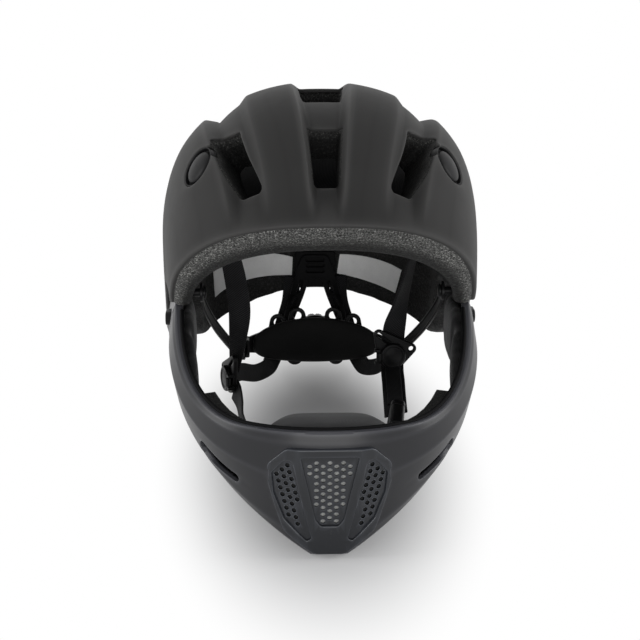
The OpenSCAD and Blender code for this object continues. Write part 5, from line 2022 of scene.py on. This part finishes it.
@dataclass(frozen=True)
class Band:
    """Band along a route: each point has a place and the direction of its width.

    The section is the upper right quarter of one that isn't a plain strap's.
    """

    name: str
    route: tuple
    wide: tuple
    width: float
    thick: float = 1.4
    finish: Finish = WEBBING
    section: tuple = ()
    spacing: float = 1.5

    def frames(self) -> tuple[Points, Points, Points, Points]:
        """Places, directions along, across and out of the band."""
        rows = np.hstack([np.array(self.route, float), np.array(self.wide, float)])
        line = smooth_route(rows, self.spacing)
        at, wide = line[:, :3], line[:, 3:]
        along = unit(np.gradient(at, axis=0))
        across = unit(wide - along * (wide * along).sum(1, keepdims=True))
        return at, along, across, np.cross(along, across)

    def outline(self) -> Points:
        """Section of the band: across and out."""
        if self.section:
            return mirrored_twice(list(self.section))
        half, deep = self.width / 2, self.thick / 2
        r = deep * 0.95
        turns = np.radians([0, 30, 60, 90])
        corner = [(half - r + r * math.cos(q), deep - r + r * math.sin(q)) for q in turns]
        flat = ((0.72, 0.93), (0.4, 1.0), (0.0, 1.0), (-0.4, 1.0), (-0.72, 0.93))
        return mirrored_twice(corner, [(half * f, deep * g) for f, g in flat])

    def build(self, first: float = 0.0, last: float = 1.0, name: str = "") -> bpy.types.Object:
        """Makes the band, or the part of it between two shares of its length."""
        at, _, across, out = self.frames()
        steps = len(at) - 1
        part = slice(round(first * steps), round(last * steps) + 1)
        at, across, out = at[part], across[part], out[part]
        edge = self.outline()
        rings = at[:, None] + across[:, None] * edge[:, :1] + out[:, None] * edge[:, 1:]
        uvs = np.stack(np.broadcast_arrays(edge[:, 0], travelled(at)[:, None]), -1)
        return Form().tube(rings, uvs + [0.01, 0.01]).build(name or self.name, self.finish, 50)

    def stitches(self, first: float, last: float, inset: float, name: str) -> bpy.types.Object:
        """Stitches along both edges between two shares of the band."""
        frames = self.frames()
        steps = len(frames[0]) - 1
        rows = np.arange(int(first * steps), int(last * steps), 2)
        at, along, across, out = (f[rows] for f in frames)
        points, aims = [], []
        for side in (-1, 1):
            for face in (-1, 1):
                edge = at + across * side * (self.width / 2 - inset)
                points.append(edge + out * face * self.thick * 0.5)
                aims.append(out * face)
        scatter = Scatter(name, Repeat.STITCH, THREAD, 2.1, 0.22)
        return scatter.build(np.vstack(points), np.vstack(aims), np.vstack([along] * 4))


def turned_over(rows: tuple, axis: int) -> tuple:
    """Rows of three numbers with one of the three negated."""
    return tuple(tuple(-v if i == axis else v for i, v in enumerate(row)) for row in rows)


TEMPLE_X = 75.5
SLEEVE_X = 51.0
CRADLE_Z = 63.5

CHIN_RIGHT_WIDE = ((1, 0, 0.3), (1, 0, 0.3), (1, 0, 0.2), (1, 0, 0.1), (1, 0, 0))
FRONT_RIGHT = Band(
    "front_strap_right",
    ((62.3, -35, 184.9), (60.8, -32, 165), (56.5, -22, 140), (52, -8, 115), (49, -1.6, 97), (48, -1.3, 84)),
    ((0.5, 1, 0), (0.5, 1, 0), (0.5, 1, 0), (0.7, 0.7, 0), (1, 0.15, 0), (1, 0.1, 0)),
    15,
)
FRONT_LEFT = Band(
    "front_strap_left",
    (
        *((-62.3, -35, 184.9), (-60.5, -32, 165), (-55.5, -25, 140)),
        *((-52.5, -18, 115), (-54, -14, 94), (-56.5, -12.2, 73)),
    ),
    ((0.5, -1, 0), (0.8, -0.7, 0), (1, -0.4, 0), (1, -0.35, 0), (0.8, -0.75, 0), (0.4, -1, 0)),
    15,
)
CHIN_RIGHT = Band(
    "chin_strap_right",
    ((45.7, -59.6, 55.4), (46.5, -38, 60), (47.2, -20, 65), (47.5, -7, 68.6), (47.7, -2.5, 75)),
    CHIN_RIGHT_WIDE,
    15,
)
TAIL = Band(
    "strap_tail",
    ((46.2, -48, 59.4), (46.7, -38, 61.9), (47.2, -20, 67.0), (47.6, -9, 70.8), (47.8, -5, 77)),
    CHIN_RIGHT_WIDE,
    10,
)
CHIN_LEFT = Band(
    "chin_strap_left",
    (
        (-56.3, -12.5, 59),
        (-53.5, -22, 56),
        (-51.8, -38, 52),
        (-51, -60, 49),
        (-46, -84, 49),
        (-32, -102, 50),
        (-8, -110, 50),
        (16, -111, 49.5),
        (33, -106, 49),
        (40.4, -98.6, 48.8),
    ),
    ((0.1, 0.15, 1),) * 10,
    15,
)
REAR_START = ((16.6, 107, 108), (18, 107.4, 90), (23, 110, 72), (27.5, 107.5, 55), (32, 94, 48), (35, 70, 50))
REAR_WIDE = ((1, 0, 0),) * 4 + ((0.9, 0, 0.4), (0.5, 0, 0.9), (0.2, 0, 1), (0, 0, 1), (0, 0, 1))
REAR_RIGHT = Band(
    "rear_strap_right", REAR_START + ((42, 36, 61), (47.4, 8, 78), (47.8, 0.4, 80)), REAR_WIDE, 12
)
REAR_LEFT = Band(
    "rear_strap_left",
    turned_over(REAR_START, 0) + ((-43, 36, 56), (-51.8, 4, 66), (-55.3, -9.5, 68)),
    turned_over(REAR_WIDE, 2),
    12,
)


# Head ring, cradle and dial


@dataclass(frozen=True)
class HeadRing:
    """Arms from the temples to the cradle, and the pins that they turn on.

    A row of the route is the share of the way out to the temple, y and z.
    """

    route: tuple = (
        (1, -39, 128.4),
        (0.93, -26, 117),
        (0.735, -8, 102),
        (0.53, 8, 90),
        (0.306, 26, 78),
        (0.122, 42, 69),
        (0.02, 54, 64.5),
        (0, 64, CRADLE_Z),
        (0, 92, CRADLE_Z),
    )
    section: tuple = ((4.0, 0.5), (3.7, 0.85), (2.9, 0.9), (2.6, 0.75), (2.35, 0.3))
    eye: tuple = ((2.55, -0.9), (5.7, -0.9), (6, -0.6), (6, 0.6), (5.7, 0.9), (2.55, 0.9))
    pin: tuple = ((0, -3.1), (2.6, -3.05), (3.4, -2.8), (4, -2.2), (4, -1.3), (2.5, -1.3), (2.5, 9), (0, 9))

    def build(self, side: int, label: str) -> tuple[bpy.types.Object, ...]:
        """Makes the arm, the eye at its end and the pin of one side."""
        route = tuple((side * mix(SLEEVE_X, TEMPLE_X, out), y, z) for out, y, z in self.route)
        wide = ((0, 0.45, 1),) * len(route)
        arm = Band(f"ring_arm_{label}", route, wide, 8, 1.8, TRIM, self.section, 2.0).build()
        temple = Axes((side * TEMPLE_X, -42.0, 131.0), (0, 1, 0), (0, 0, side), (side, 0, 0))
        eye = Form().ring(self.eye, temple).build(f"ring_eye_{label}", TRIM)
        return arm, eye, Form().lathe(self.pin, temple, 32).build(f"ring_pin_{label}", TRIM)


@dataclass(frozen=True)
class Cradle:
    """Curved frame behind the head, its loops, sleeves and dial housing."""

    radius: float = 76.5
    loop_radius: float = 78.0
    pad_radius: float = 75.0
    half: float = 52.0
    height: float = 25.0
    pad_height: float = 33.0
    mid_y: float = 24.0
    # Side place, height and way up of each pair of loops
    loops: tuple = ((15, 50, 1), (27, 76.9, -1), (13, 80.7, -1))
    housing: tuple = (
        (3.05, 0),
        (15.8, 0),
        (16.8, 0.8),
        (17, 1.6),
        (17, 4.2),
        (16.4, 5.2),
        (15.5, 5.5),
        (3.05, 5.5),
    )

    @staticmethod
    def lens(height: float, u: Points) -> Points:
        """Half height of a lens at a share u of its half width."""
        return height / 2 * (1 - 0.62 * u * u) - 1.5 * (1 - u * u) * u * u

    def wrap(self, points: Points) -> Points:
        """Flat points (x, height, out) wrapped round the head's axis."""
        x, high, out = points.T
        y = self.mid_y + np.sqrt(np.maximum((self.radius + out) ** 2 - x**2, 0))
        return np.stack([x, y, CRADLE_Z + high], 1)

    def build(self) -> bpy.types.Object:
        """Makes the frame with everything moulded to it."""
        u = np.linspace(-1, 1, 41)
        top = np.c_[self.half * u, self.lens(self.height, u)]
        lens = round_corners(np.vstack([top, top[::-1] * [1, -1]]), 1.4, 3)
        places = [x * m for x in (24, 31, 38) for m in (-1, 1)]
        slots = [hull_of_circles([(x, -2.6, 1.3), (x, 2.6, 1.3)], 16) for x in places]
        form = Form().bent_plate([lens] + slots, (2.8, 0.6, 3), 0.0, np.arange(-50, 51, 2.5), self.wrap)
        for x, z, up in self.loops:
            y = self.mid_y + math.sqrt(self.loop_radius**2 - x * x) - 1.2
            loop = hull_of_circles([(0, 0, 6), (-6.3, up * 6, 0.9), (6.3, up * 6, 0.9)], 36)
            for side, _ in SIDES:
                form.plate([loop, circle(3, 28)], 2.4, 0.7, Axes((side * x, y, z), *FRONTAL))
        outline, slot = slab(3.4, 6, 1.4), slab(1.2, 4.4, 0.5, 2)
        for side, _ in SIDES:
            sleeve = Axes((side * SLEEVE_X, 77.5, CRADLE_Z), *FRONTAL)
            form.plate([outline, slot], 14.6, 0.9, sleeve)
            for along in (-5.3, 5.3):
                form.plate([outline * 1.06, slot], 2.0, 0.5, sleeve.moved(0, 0, along))
        form.ring(self.housing, Axes((0, 99.0, CRADLE_Z), *REARWARD), 72)
        return form.build("rear_cradle", TRIM, 40)

    def pad(self) -> bpy.types.Object:
        """Makes the smooth lens-shaped pad."""
        c, s = np.cos(around(48)), np.sin(around(48))
        half_turn = math.asin(self.half / self.pad_radius)
        rings = []
        for u in np.linspace(-0.85, 0.85, 75):
            shrink = (1 - (abs(u) / 0.87) ** 10) ** 0.5
            thick = (6.5 - 3 * u * u) * (0.3 + 0.7 * shrink)
            r = self.pad_radius - 0.3 - thick * (0.5 + 0.5 * squarer(c, 0.8))
            high = self.lens(self.pad_height, u) * shrink * s * (1 - 0.1 * c)
            x, y = math.sin(u * half_turn), math.cos(u * half_turn)
            rings.append(np.stack([r * x, self.mid_y + r * y, CRADLE_Z + high], -1))
        return Form().tube(np.array(rings)).build("cradle_pad", SMOOTH_PAD, 70)


@dataclass(frozen=True)
class Dial:
    """Adjuster dial with a scalloped grip and a dished back."""

    notches: int = 16
    profile: tuple = (
        (0, 0),
        (14.6, 0),
        (15.4, 0.8),
        (15.5, 2),
        (15.5, 7.6),
        (15.1, 8.9),
        (14.2, 9.7),
        (12.6, 10),
        (11, 9.8),
        (10.2, 9),
        (0, 8.6),
    )
    shaft: tuple = ((0, -5.4), (2.6, -5.4), (3, -5), (3, 0.5), (0, 0.5))

    def build(self) -> list[bpy.types.Object]:
        """Makes the dial with its shaft, and its grip ribs."""
        frame = Axes((0, 104.9, CRADLE_Z), *REARWARD)
        a = around(192)
        dent = 1.1 * np.maximum(np.cos(self.notches * a), 0) ** 3
        rings = []
        for radius, high in self.profile:
            r = radius - dent * ease((radius - 11) / 3.5)
            rings.append(np.stack([r * np.cos(a), r * np.sin(a), np.full_like(a, high)], -1))
        form = Form().tube(frame.put(np.array(rings))).lathe(self.shaft, frame, 32)
        turn = (np.arange(self.notches) + 0.5) * 2 * math.pi / self.notches
        out = np.stack([np.cos(turn), np.zeros_like(turn), -np.sin(turn)], -1)
        places = out * 15.45 + [0, 109.6, CRADLE_Z]
        ribs = Scatter("dial_grip", Repeat.RIB, TRIM, 6.0, 0.3)
        grip = ribs.build(places, out, np.broadcast_to([0.0, 1.0, 0.0], out.shape))
        return [form.build("adjuster_dial", TRIM, 40), grip]


# Dividers, buckle, buttons and small hardware


@dataclass(frozen=True)
class Divider:
    """Strap divider: a teardrop plate and the round lever that clamps the straps."""

    label: str
    origin: tuple[float, float, float]
    turn: float
    side: int
    lever: tuple = (
        (0, 1.8),
        (7.9, 1.8),
        (8.5, 2.2),
        (8.5, 3.7),
        (8.1, 4.4),
        (7.4, 4.75),
        (6.6, 4.6),
        (6.0, 4.1),
        (5.2, 4.1),
        (4.6, 4.4),
        (0, 4.3),
    )
    barrel: tuple = ((0, -2.8), (1.3, -2.8), (1.6, -2.5), (1.6, 2.5), (1.3, 2.8), (0, 2.8))

    def build(self) -> tuple[bpy.types.Object, bpy.types.Object]:
        """Makes the plate with its lugs, and the lever."""
        c, s = math.cos(math.radians(self.turn)), math.sin(math.radians(self.turn))
        axes = Axes(self.origin, (self.side * c, self.side * s, 0), (0, 0, 1), (s, -c, 0))
        outline = hull_of_circles([(0, 0, 10), (-9, 14, 3.5), (12.5, 4, 3.5)], 60)
        c, s = math.cos(math.radians(-40)), math.sin(math.radians(-40))
        slot = slab(5.5, 1.2, 0.9, 3) @ np.array([[c, s], [-s, c]]) + [-6, 11.5]
        body = Form().plate([outline, circle(1.6, 24, (12.5, 4)), slot], 3.0, 0.75, axes)
        for high in (-4.1, 4.1):
            body.plate([slab(1.8, 1.0, 0.5, 2)], 4.4, 0.5, axes.moved(-10.4, high, 3.0))
        lever = Form().lathe(self.lever, axes, 64)
        hinge = Axes(axes.moved(-9.8, 0, 4.6).origin, axes.x, axes.z, (0, 0, 1))
        lever.lathe(self.barrel, hinge, 24)
        lever.plate([slab(1.25, 2.6, 0.5, 2)], 1.4, 0.4, axes.moved(-8.15, 0, 3.8))
        plate_piece = body.build(f"strap_divider_{self.label}", TRIM)
        return plate_piece, lever.build(f"divider_clamp_{self.label}", TRIM)


DIVIDERS = (Divider("right", (47.5, -4, 79), 6, 1), Divider("left", (-59, -13, 67), -72, -1))


# Pieces of the buckle, which are also its CAD nodes, and their bodies
BUCKLE_PIECES = (("buckle_socket", "shell"), ("buckle_plug", "buckle"), ("buckle_prongs", "buckle"))


@dataclass(frozen=True)
class Buckle:
    """Side-release buckle at the right of the chin strap."""

    origin: tuple[float, float, float] = (43.5, -76, 52.5)
    way: tuple[float, float, float] = (5.0, 40.0, 7.0)
    roll: float = 100.0
    wide: float = 24.0
    deep: float = 9.0
    length: float = 30.0

    @property
    def axes(self) -> Axes:
        """Axes of the buckle: depth, width and the direction of the strap."""
        way = unit(np.array(self.way))
        turns = ((math.atan2(way[1], way[0]), "Z"), (math.acos(way[2]), "Y"), (math.radians(self.roll), "Z"))
        about, tilt, own = (np.array(Matrix.Rotation(angle, 3, axis)) for angle, axis in turns)
        return Axes(self.origin, *(tuple(column) for column in (about @ tilt @ own).T))

    def build(self) -> tuple[bpy.types.Object, ...]:
        """Makes the socket, the plug and its prongs."""
        axes, x, y = self.axes, self.deep / 2, self.wide / 2
        outer, inner, ridge = slab(x, y, 3.4, 5), slab(x - 1.8, y - 2, 1.5, 5), slab(x + 0.25, y - 4, 1.0, 5)
        socket = Form().plate([outer, inner], self.length - 6, 1.0, axes.moved(0, 0, -3))
        socket.plate([outer], 6.4, 1.2, axes.moved(0, 0, 11.8))
        for along in (-6.0, -2.5, 1.0):
            socket.plate([ridge], 1.1, 0.4, axes.moved(0, 0, along))
        plug = Form().plate([outer], 5.0, 1.1, axes.moved(0, 0, -18))
        plug.plate([slab(1.5, 2.5, 0.8, 5)], 22.5, 0.5, axes.moved(0, 0, -4.75))
        prongs = Form()
        for across in (-7.2, 7.2):
            prongs.plate([slab(1.5, 1.5, 0.9, 5)], 19.8, 0.6, axes.moved(0, across, -4.9))
        forms = zip((socket, plug, prongs), BUCKLE_PIECES)
        return tuple(form.build(name, TRIM) for form, (name, _) in forms)


@dataclass(frozen=True)
class Release:
    """Press button in the arm of the chin bar, its cup and the arm's tongue."""

    y: float = -8.0
    z: float = 107.0
    in_x: float = 91.8
    # How far out each ring of the button lies and how much it is grown
    button: tuple = (
        (0.0, 1.1),
        (0.3, 1.2),
        (0.9, 1.2),
        (1.2, 1.0),
        (1.25, 0.0),
        (7.7, 0.0),
        (8.3, -0.25),
        (8.6, -0.8),
        (8.5, -1.6),
        (8.0, -2.4),
        (7.8, -3.6),
    )
    # Place and growth of each ring of the cup
    cup: tuple = ((87.9, 2.6), (87.9, 3.2), (95.4, 3.2), (95.4, 1.9), (89.3, 1.9), (89.2, 1.6))

    def oval(self, x: float, grow: float) -> Points:
        """Ring of the button's outline, grown, at a distance from the middle."""
        ring = stadium(16 + 2 * grow, 9 + 2 * grow) + [self.y, self.z]
        return np.c_[np.full(len(ring), x), ring]

    def build(self, side: int, label: str) -> tuple[bpy.types.Object, bpy.types.Object]:
        """Makes the button, and the cup with the tongue."""
        rings = [self.oval(side * (self.in_x + out), grow) for out, grow in self.button]
        button = Form().tube(np.array(rings))
        holder = Form().tube(np.array([self.oval(side * x, grow) for x, grow in self.cup]))
        holder.plate([slab(17, 5.5, 1.6)], 4.0, 0.6, Axes((side * 90.0, 25.0, 108.5), *SIDEWAYS))
        holder.plate([slab(3.5, 5.5, 1.0, 3)], 9.0, 0.6, Axes((side * 92.5, 11.5, 108.5), *SIDEWAYS))
        return button.build(f"release_button_{label}", TRIM), holder.build(f"bar_tongue_{label}", GUARD)


@dataclass(frozen=True)
class Hanger:
    """Slotted fork that hangs the cradle, and its block on the foam."""

    y: float = 102.6
    top_z: float = 116.0
    part_z: float = 95.7
    outline: tuple = (
        (-13, 0),
        (-23, -38),
        (-16.5, -42),
        (-8.5, -22),
        (-4, -8),
        (4, -8),
        (8.5, -22),
        (16.5, -42),
        (23, -38),
        (13, 0),
        (9, 9),
        (-9, 9),
    )
    # Both ends of each slot in the fork's right tine
    tine_slots: tuple = (((9.8, -11), (12.6, -18)), ((14.0, -23), (17.0, -31)))

    def block(self) -> bpy.types.Object:
        """Makes the block."""
        form = Form()
        for half_x, half_z, radius, z in ((14.5, 8.7, 2, 118.3), (10, 5, 1.5, 106.0)):
            form.plate([slab(half_x, half_z, radius)], 4.0, 0.7, Axes((0, 106, z), *FRONTAL))
        return form.build("rear_anchor", BLACK)

    def fork(self) -> bpy.types.Object:
        """Makes the fork in one length."""
        slots = [stadium(13, 2.4) + [0, z] for z in (5.2, 1.2, -2.8)]
        for ends in self.tine_slots:
            slots += [hull_of_circles([(m * x, z, 1.1) for x, z in ends], 16) for m in (-1, 1)]
        frame = Axes((0, self.y, self.top_z), *FRONTAL)
        outline = round_corners(self.outline, 3.0, 4)
        return Form().plate([outline] + slots, 2.1, 0.6, frame).build("rear_hanger", BLACK)

    def build(self) -> None:
        """Makes the fork and parts it across into an upper piece and its foot."""
        place, way = STANCE.place(np.array([0, self.y, self.part_z])), STANCE.turn(np.array([0, 0, 1.0]))
        upper = self.fork()
        foot = placed("rear_hanger_fork", upper.data.copy())
        for obj, above in ((upper, True), (foot, False)):
            with editing(obj) as work:
                every = work.verts[:] + work.edges[:] + work.faces[:]
                sides = {"clear_outer": not above, "clear_inner": above}
                cut = bmesh.ops.bisect_plane(work, geom=every, plane_co=place, plane_no=way, **sides)
                rim = [e for e in cut["geom_cut"] if isinstance(e, bmesh.types.BMEdge)]
                bmesh.ops.holes_fill(work, edges=rim, sides=0)
                bmesh.ops.recalc_face_normals(work, faces=work.faces)
            mark_edges(obj, *RUBBING_AND_LIGHT[TRIM.name])
        bend(upper, ("shell", "head_ring"), (0, self.y, 112), (0, self.y, 98), "rear_hanger")
        bend(foot, ("head_ring", "cradle"), (0, self.y, 94), (0, self.y, 82), "rear_hanger")


def build_anchor(side: int, label: str) -> bpy.types.Object:
    """Makes the block that holds a front strap in the foam."""
    c, s = math.cos(math.radians(62)), math.sin(math.radians(62))
    frame = Axes((side * 63.0, -33, 190), (side * c, s, 0), (-side * s, c, 0), (0, 0, 1))
    return Form().plate([slab(9, 2, 0.8, 3)], 8.0, 0.6, frame).build(f"strap_anchor_{label}", TRIM)


# Scene


@dataclass(frozen=True)
class Studio:
    """Camera, floor, backdrop and lights; lengths in metres, the target's in millimetres."""

    elevation: float = 14.0
    azimuth: float = -2.0
    distance: float = 1.0
    target_z: float = 102.068
    focal: float = 85.5
    floor: float = 6.0
    white: tuple[float, ...] = (1, 1, 1, 1)
    # Name, place, size and power of each light
    lights: tuple = (
        ("key_left", (-1.25, -0.15, 0.5), (0.5, 0.9), 6.0),
        ("key_right", (1.25, -0.1, 0.55), (0.5, 0.9), 6.0),
        ("top", (0.0, 0.6, 1.5), (0.9, 0.6), 1.0),
        ("front", (0.0, -1.6, 0.30), (1.2, 0.4), 8.0),
    )

    def camera(self) -> None:
        """Places the camera as in the photograph."""
        e, a = math.radians(self.elevation), math.radians(self.azimuth)
        turn = np.array([[math.cos(a), -math.sin(a), 0], [math.sin(a), math.cos(a), 0], [0, 0, 1]])
        forward = turn @ [0, math.cos(e), -math.sin(e)]
        up = turn @ [0, math.sin(e), math.cos(e)]
        position = STANCE.place(np.array([0, 0, self.target_z]) - forward * self.distance * 1000)
        columns = [STANCE.turn(v) for v in (turn @ [1, 0, 0], up, -forward)] + [position]
        data = bpy.data.cameras.new("camera")
        data.lens, data.sensor_width, data.clip_start = self.focal, 36.0, 0.05
        camera = placed("camera", data)
        camera.matrix_world = Matrix(np.vstack([np.array(columns).T, [0, 0, 0, 1]]).tolist())
        bpy.context.scene.camera = camera

    def light(self, name: str, place: tuple, size: tuple[float, float], power: float) -> None:
        """Adds a soft area light that faces the helmet."""
        data = bpy.data.lights.new(name, "AREA")
        data.shape = "RECTANGLE"
        data.size, data.size_y = size
        data.energy = power
        way = Vector((0.0, 0.0, 0.1)) - Vector(place)
        turn = way.to_track_quat("-Z", "Y").to_matrix().to_4x4()
        placed(name, data).matrix_world = Matrix.Translation(place) @ turn

    def seen(self, tree: Tree) -> Value:
        """One for the rays that should meet the white background, else zero."""
        kinds = ("Is Camera Ray", "Is Glossy Ray", "Is Transmission Ray")
        camera, glossy, through = (tree.node("ShaderNodeLightPath", out=kind) for kind in kinds)
        return camera + glossy + through

    def paint(self) -> bpy.types.Material:
        """The floor's finish: matte under the helmet, white as the background away from it."""
        made = bpy.data.materials.new("floor")
        tree = Tree.of(made)
        grain = tree.noise(tree.place(), 40.0)
        matte = {"Color": tree.mix(grain, (0.78, 0.78, 0.785), (0.80, 0.80, 0.80))}
        surface = tree.node("ShaderNodeBsdfDiffuse", {}, matte)
        glow = tree.node("ShaderNodeEmission", {}, {"Color": self.white, "Strength": 1.0})
        reach = {"Vector": tree.place(), "Location": (0.0, 0.2, 0.0), "Scale": (10.5, 4.9, 1.0)}
        oval = tree.node("ShaderNodeMapping", {}, reach)
        away = tree.node("ShaderNodeVectorMath", {"operation": "LENGTH"}, {0: oval}, out="Value")
        both = tree.cover(away.step(0.35, 1.15) * self.seen(tree), surface, glow)
        tree.node("ShaderNodeOutputMaterial", {}, {"Surface": both})
        return made

    def build(self) -> None:
        """Makes the whole set."""
        self.camera()
        mesh, f = bpy.data.meshes.new("floor"), self.floor
        mesh.from_pydata([(-f, -f, 0), (f, -f, 0), (f, f, 0), (-f, f, 0)], [], [(0, 1, 2, 3)])
        mesh.materials.append(self.paint())
        placed("floor", mesh)
        world = bpy.data.worlds.new("studio")
        bpy.context.scene.world = world
        sky = Tree.of(world)
        ambient = sky.node("ShaderNodeBackground", {}, {"Color": (0.97, 0.98, 1.0, 1), "Strength": 0.25})
        white = sky.node("ShaderNodeBackground", {}, {"Color": self.white, "Strength": 1.0})
        sky.node("ShaderNodeOutputWorld", {}, {"Surface": sky.cover(self.seen(sky), ambient, white)})
        bpy.context.scene.view_settings.view_transform = "Standard"
        for light in self.lights:
            self.light(*light)


CAD_LOOKS = {
    "latch_socket": TRIM,
    "latch_clip": STEEL,
    "button_spring": STEEL,
    "dial_pinion": STEEL,
    "grille_filter": FILTER,
    # With no brim attribute, the foam finish paints this node in its painted shade
    "chin_bar_foam": FOAM,
}


def finish_cad(frame: dict) -> None:
    """Gives the carried-over CAD nodes their materials."""
    for name, obj in frame["nodes"].items():
        for key, finish in CAD_LOOKS.items():
            if name.startswith(key):
                dressed(obj, finish)
                log.info("finished %s", name)


def ride(obj: bpy.types.Object, body: str, *nodes: str) -> None:
    """Lets a piece move with a body and names the CAD nodes that it stands for."""
    slot = obj.data.materials[0]["slot"]
    # Convex edges are marked for their painted highlight, with a little rubbing
    if slot in RUBBING_AND_LIGHT:
        mark_edges(obj, *RUBBING_AND_LIGHT[slot])
    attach(obj, body)
    if nodes:
        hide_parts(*nodes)
    log.info("%s rides %s: %d faces", obj.name, body, len(obj.data.polygons))


def ride_soft(obj: bpy.types.Object, fill: float, body: str, *nodes: str) -> None:
    """Lets a padded piece ride with a body."""
    ride(obj, body, *nodes)


def bend(obj: bpy.types.Object, bodies: tuple[str, str], start: tuple, end: tuple, *nodes: str) -> None:
    """Bakes a piece that lies between two bodies into place and hides the CAD nodes that it stands for.

    Args:
        obj: the piece.
        bodies: the two bodies it lies between, only named in the log.
        start: upright place in millimetres where it leaves the first; not used.
        end: the same where it meets the second; not used.
        nodes: CAD nodes that it stands for.
    """
    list(bodies)
    STANCE.place(np.array(start, float))
    STANCE.place(np.array(end, float))
    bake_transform(obj)
    if nodes:
        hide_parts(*nodes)
    log.info("%s bends between %s and %s", obj.name, *bodies)


# Lengths of a rear strap: its share of the strap, where it bends, and between which bodies
REAR_SPANS = (
    ("top", (0.0, 0.06), (0.0, 0.06), ("shell", "head_ring")),
    ("loop", (0.06, 0.46), (0.06, 0.12), ("head_ring", "cradle")),
    ("turn", (0.46, 0.74), (0.52, 0.74), ("cradle", "head_ring")),
    ("end", (0.74, 1.0), (0.74, 1.0), ("head_ring", "shell")),
)


def bend_strap(band: Band) -> None:
    """Makes a rear strap in four lengths, one for each span between the shell, the ring and the cradle."""
    at = band.frames()[0]
    for part, span, turn, bodies in REAR_SPANS:
        start, end = (at[round(share * (len(at) - 1))] for share in turn)
        bend(band.build(*span, f"{band.name}_{part}"), bodies, start, end, band.name)


def build_guard() -> None:
    """Makes the chin guard and what lies in it."""
    ride(ChinBar().build(), "chin_guard", "chin_bar")
    ride(bar_piping(), "chin_guard")
    grille, rims = ChinGrille().build()
    ride(grille, "chin_guard", "chin_grille")
    ride(rims, "chin_guard")
    for pad in ChinPad().build():
        ride_soft(pad, 0.8, "chin_guard", "chin_pad")
    for side, label in SIDES:
        ride_soft(CheekPad().build(side, label), 0.8, "chin_guard", f"cheek_pad_{label}")
        button, holder = Release().build(side, label)
        ride(button, f"release_{label}", f"release_button_{label}")
        ride(holder, "chin_guard")
        ride(build_anchor(side, label), "shell", f"strap_anchor_{label}")


def build_fit() -> None:
    """Makes the head ring, the cradle, the dial and the hanger."""
    for side, label in SIDES:
        arm, eye, pin = HeadRing().build(side, label)
        ride(arm, "head_ring", f"ring_arm_{label}")
        ride(eye, "head_ring", f"ring_arm_{label}")
        ride(pin, "shell", f"ring_pin_{label}")
    cradle = Cradle()
    ride(cradle.build(), "cradle", "rear_cradle")
    ride_soft(cradle.pad(), 0.8, "cradle", "cradle_pad")
    for obj in Dial().build():
        ride(obj, "dial", "adjuster_dial")
    hanger = Hanger()
    hanger.build()
    ride(hanger.block(), "shell", "rear_anchor")


def build_straps() -> None:
    """Makes the straps, their dividers and the buckle."""
    for band in (FRONT_RIGHT, FRONT_LEFT, CHIN_RIGHT, TAIL):
        ride(band.build(), "shell", band.name)
    near_buckle = ((12, -111, 49.5), (38, -101, 49))
    bend(CHIN_LEFT.build(), ("shell", "buckle"), *near_buckle, CHIN_LEFT.name)
    bend(CHIN_LEFT.stitches(0.86, 0.97, 2.2, "chin_stitches"), ("shell", "buckle"), *near_buckle)
    for band in (REAR_RIGHT, REAR_LEFT):
        bend_strap(band)
    for divider in DIVIDERS:
        plates, lever = divider.build()
        ride(plates, "shell", f"strap_divider_{divider.label}")
        ride(lever, f"clamp_{divider.label}", f"divider_clamp_{divider.label}")
    for obj, (name, body) in zip(Buckle().build(), BUCKLE_PIECES):
        ride(obj, body, name)


def main() -> None:
    """Builds the helmet over its frame."""
    logging.basicConfig(level=logging.INFO, format="%(message)s")
    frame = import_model()
    finish_cad(frame)
    ride(OuterShell().build(), "shell", "outer_shell")
    ride(FoamLiner().build(), "shell", "foam_liner")
    for side, label in SIDES:
        ride(VisorCap().build(side, label), "shell", f"visor_cap_{label}")
    for pad in (ComfortPad("brow_pad", 50, 4.5, 44), ComfortPad("crown_pad", 91, 4, 26)):
        ride_soft(pad.build(), 0.7, "shell", pad.name)
    build_guard()
    build_fit()
    build_straps()
    for film in FILMS:
        ride(film.build(), "shell")
    Studio().build()


if __name__ == "__main__":
    main()
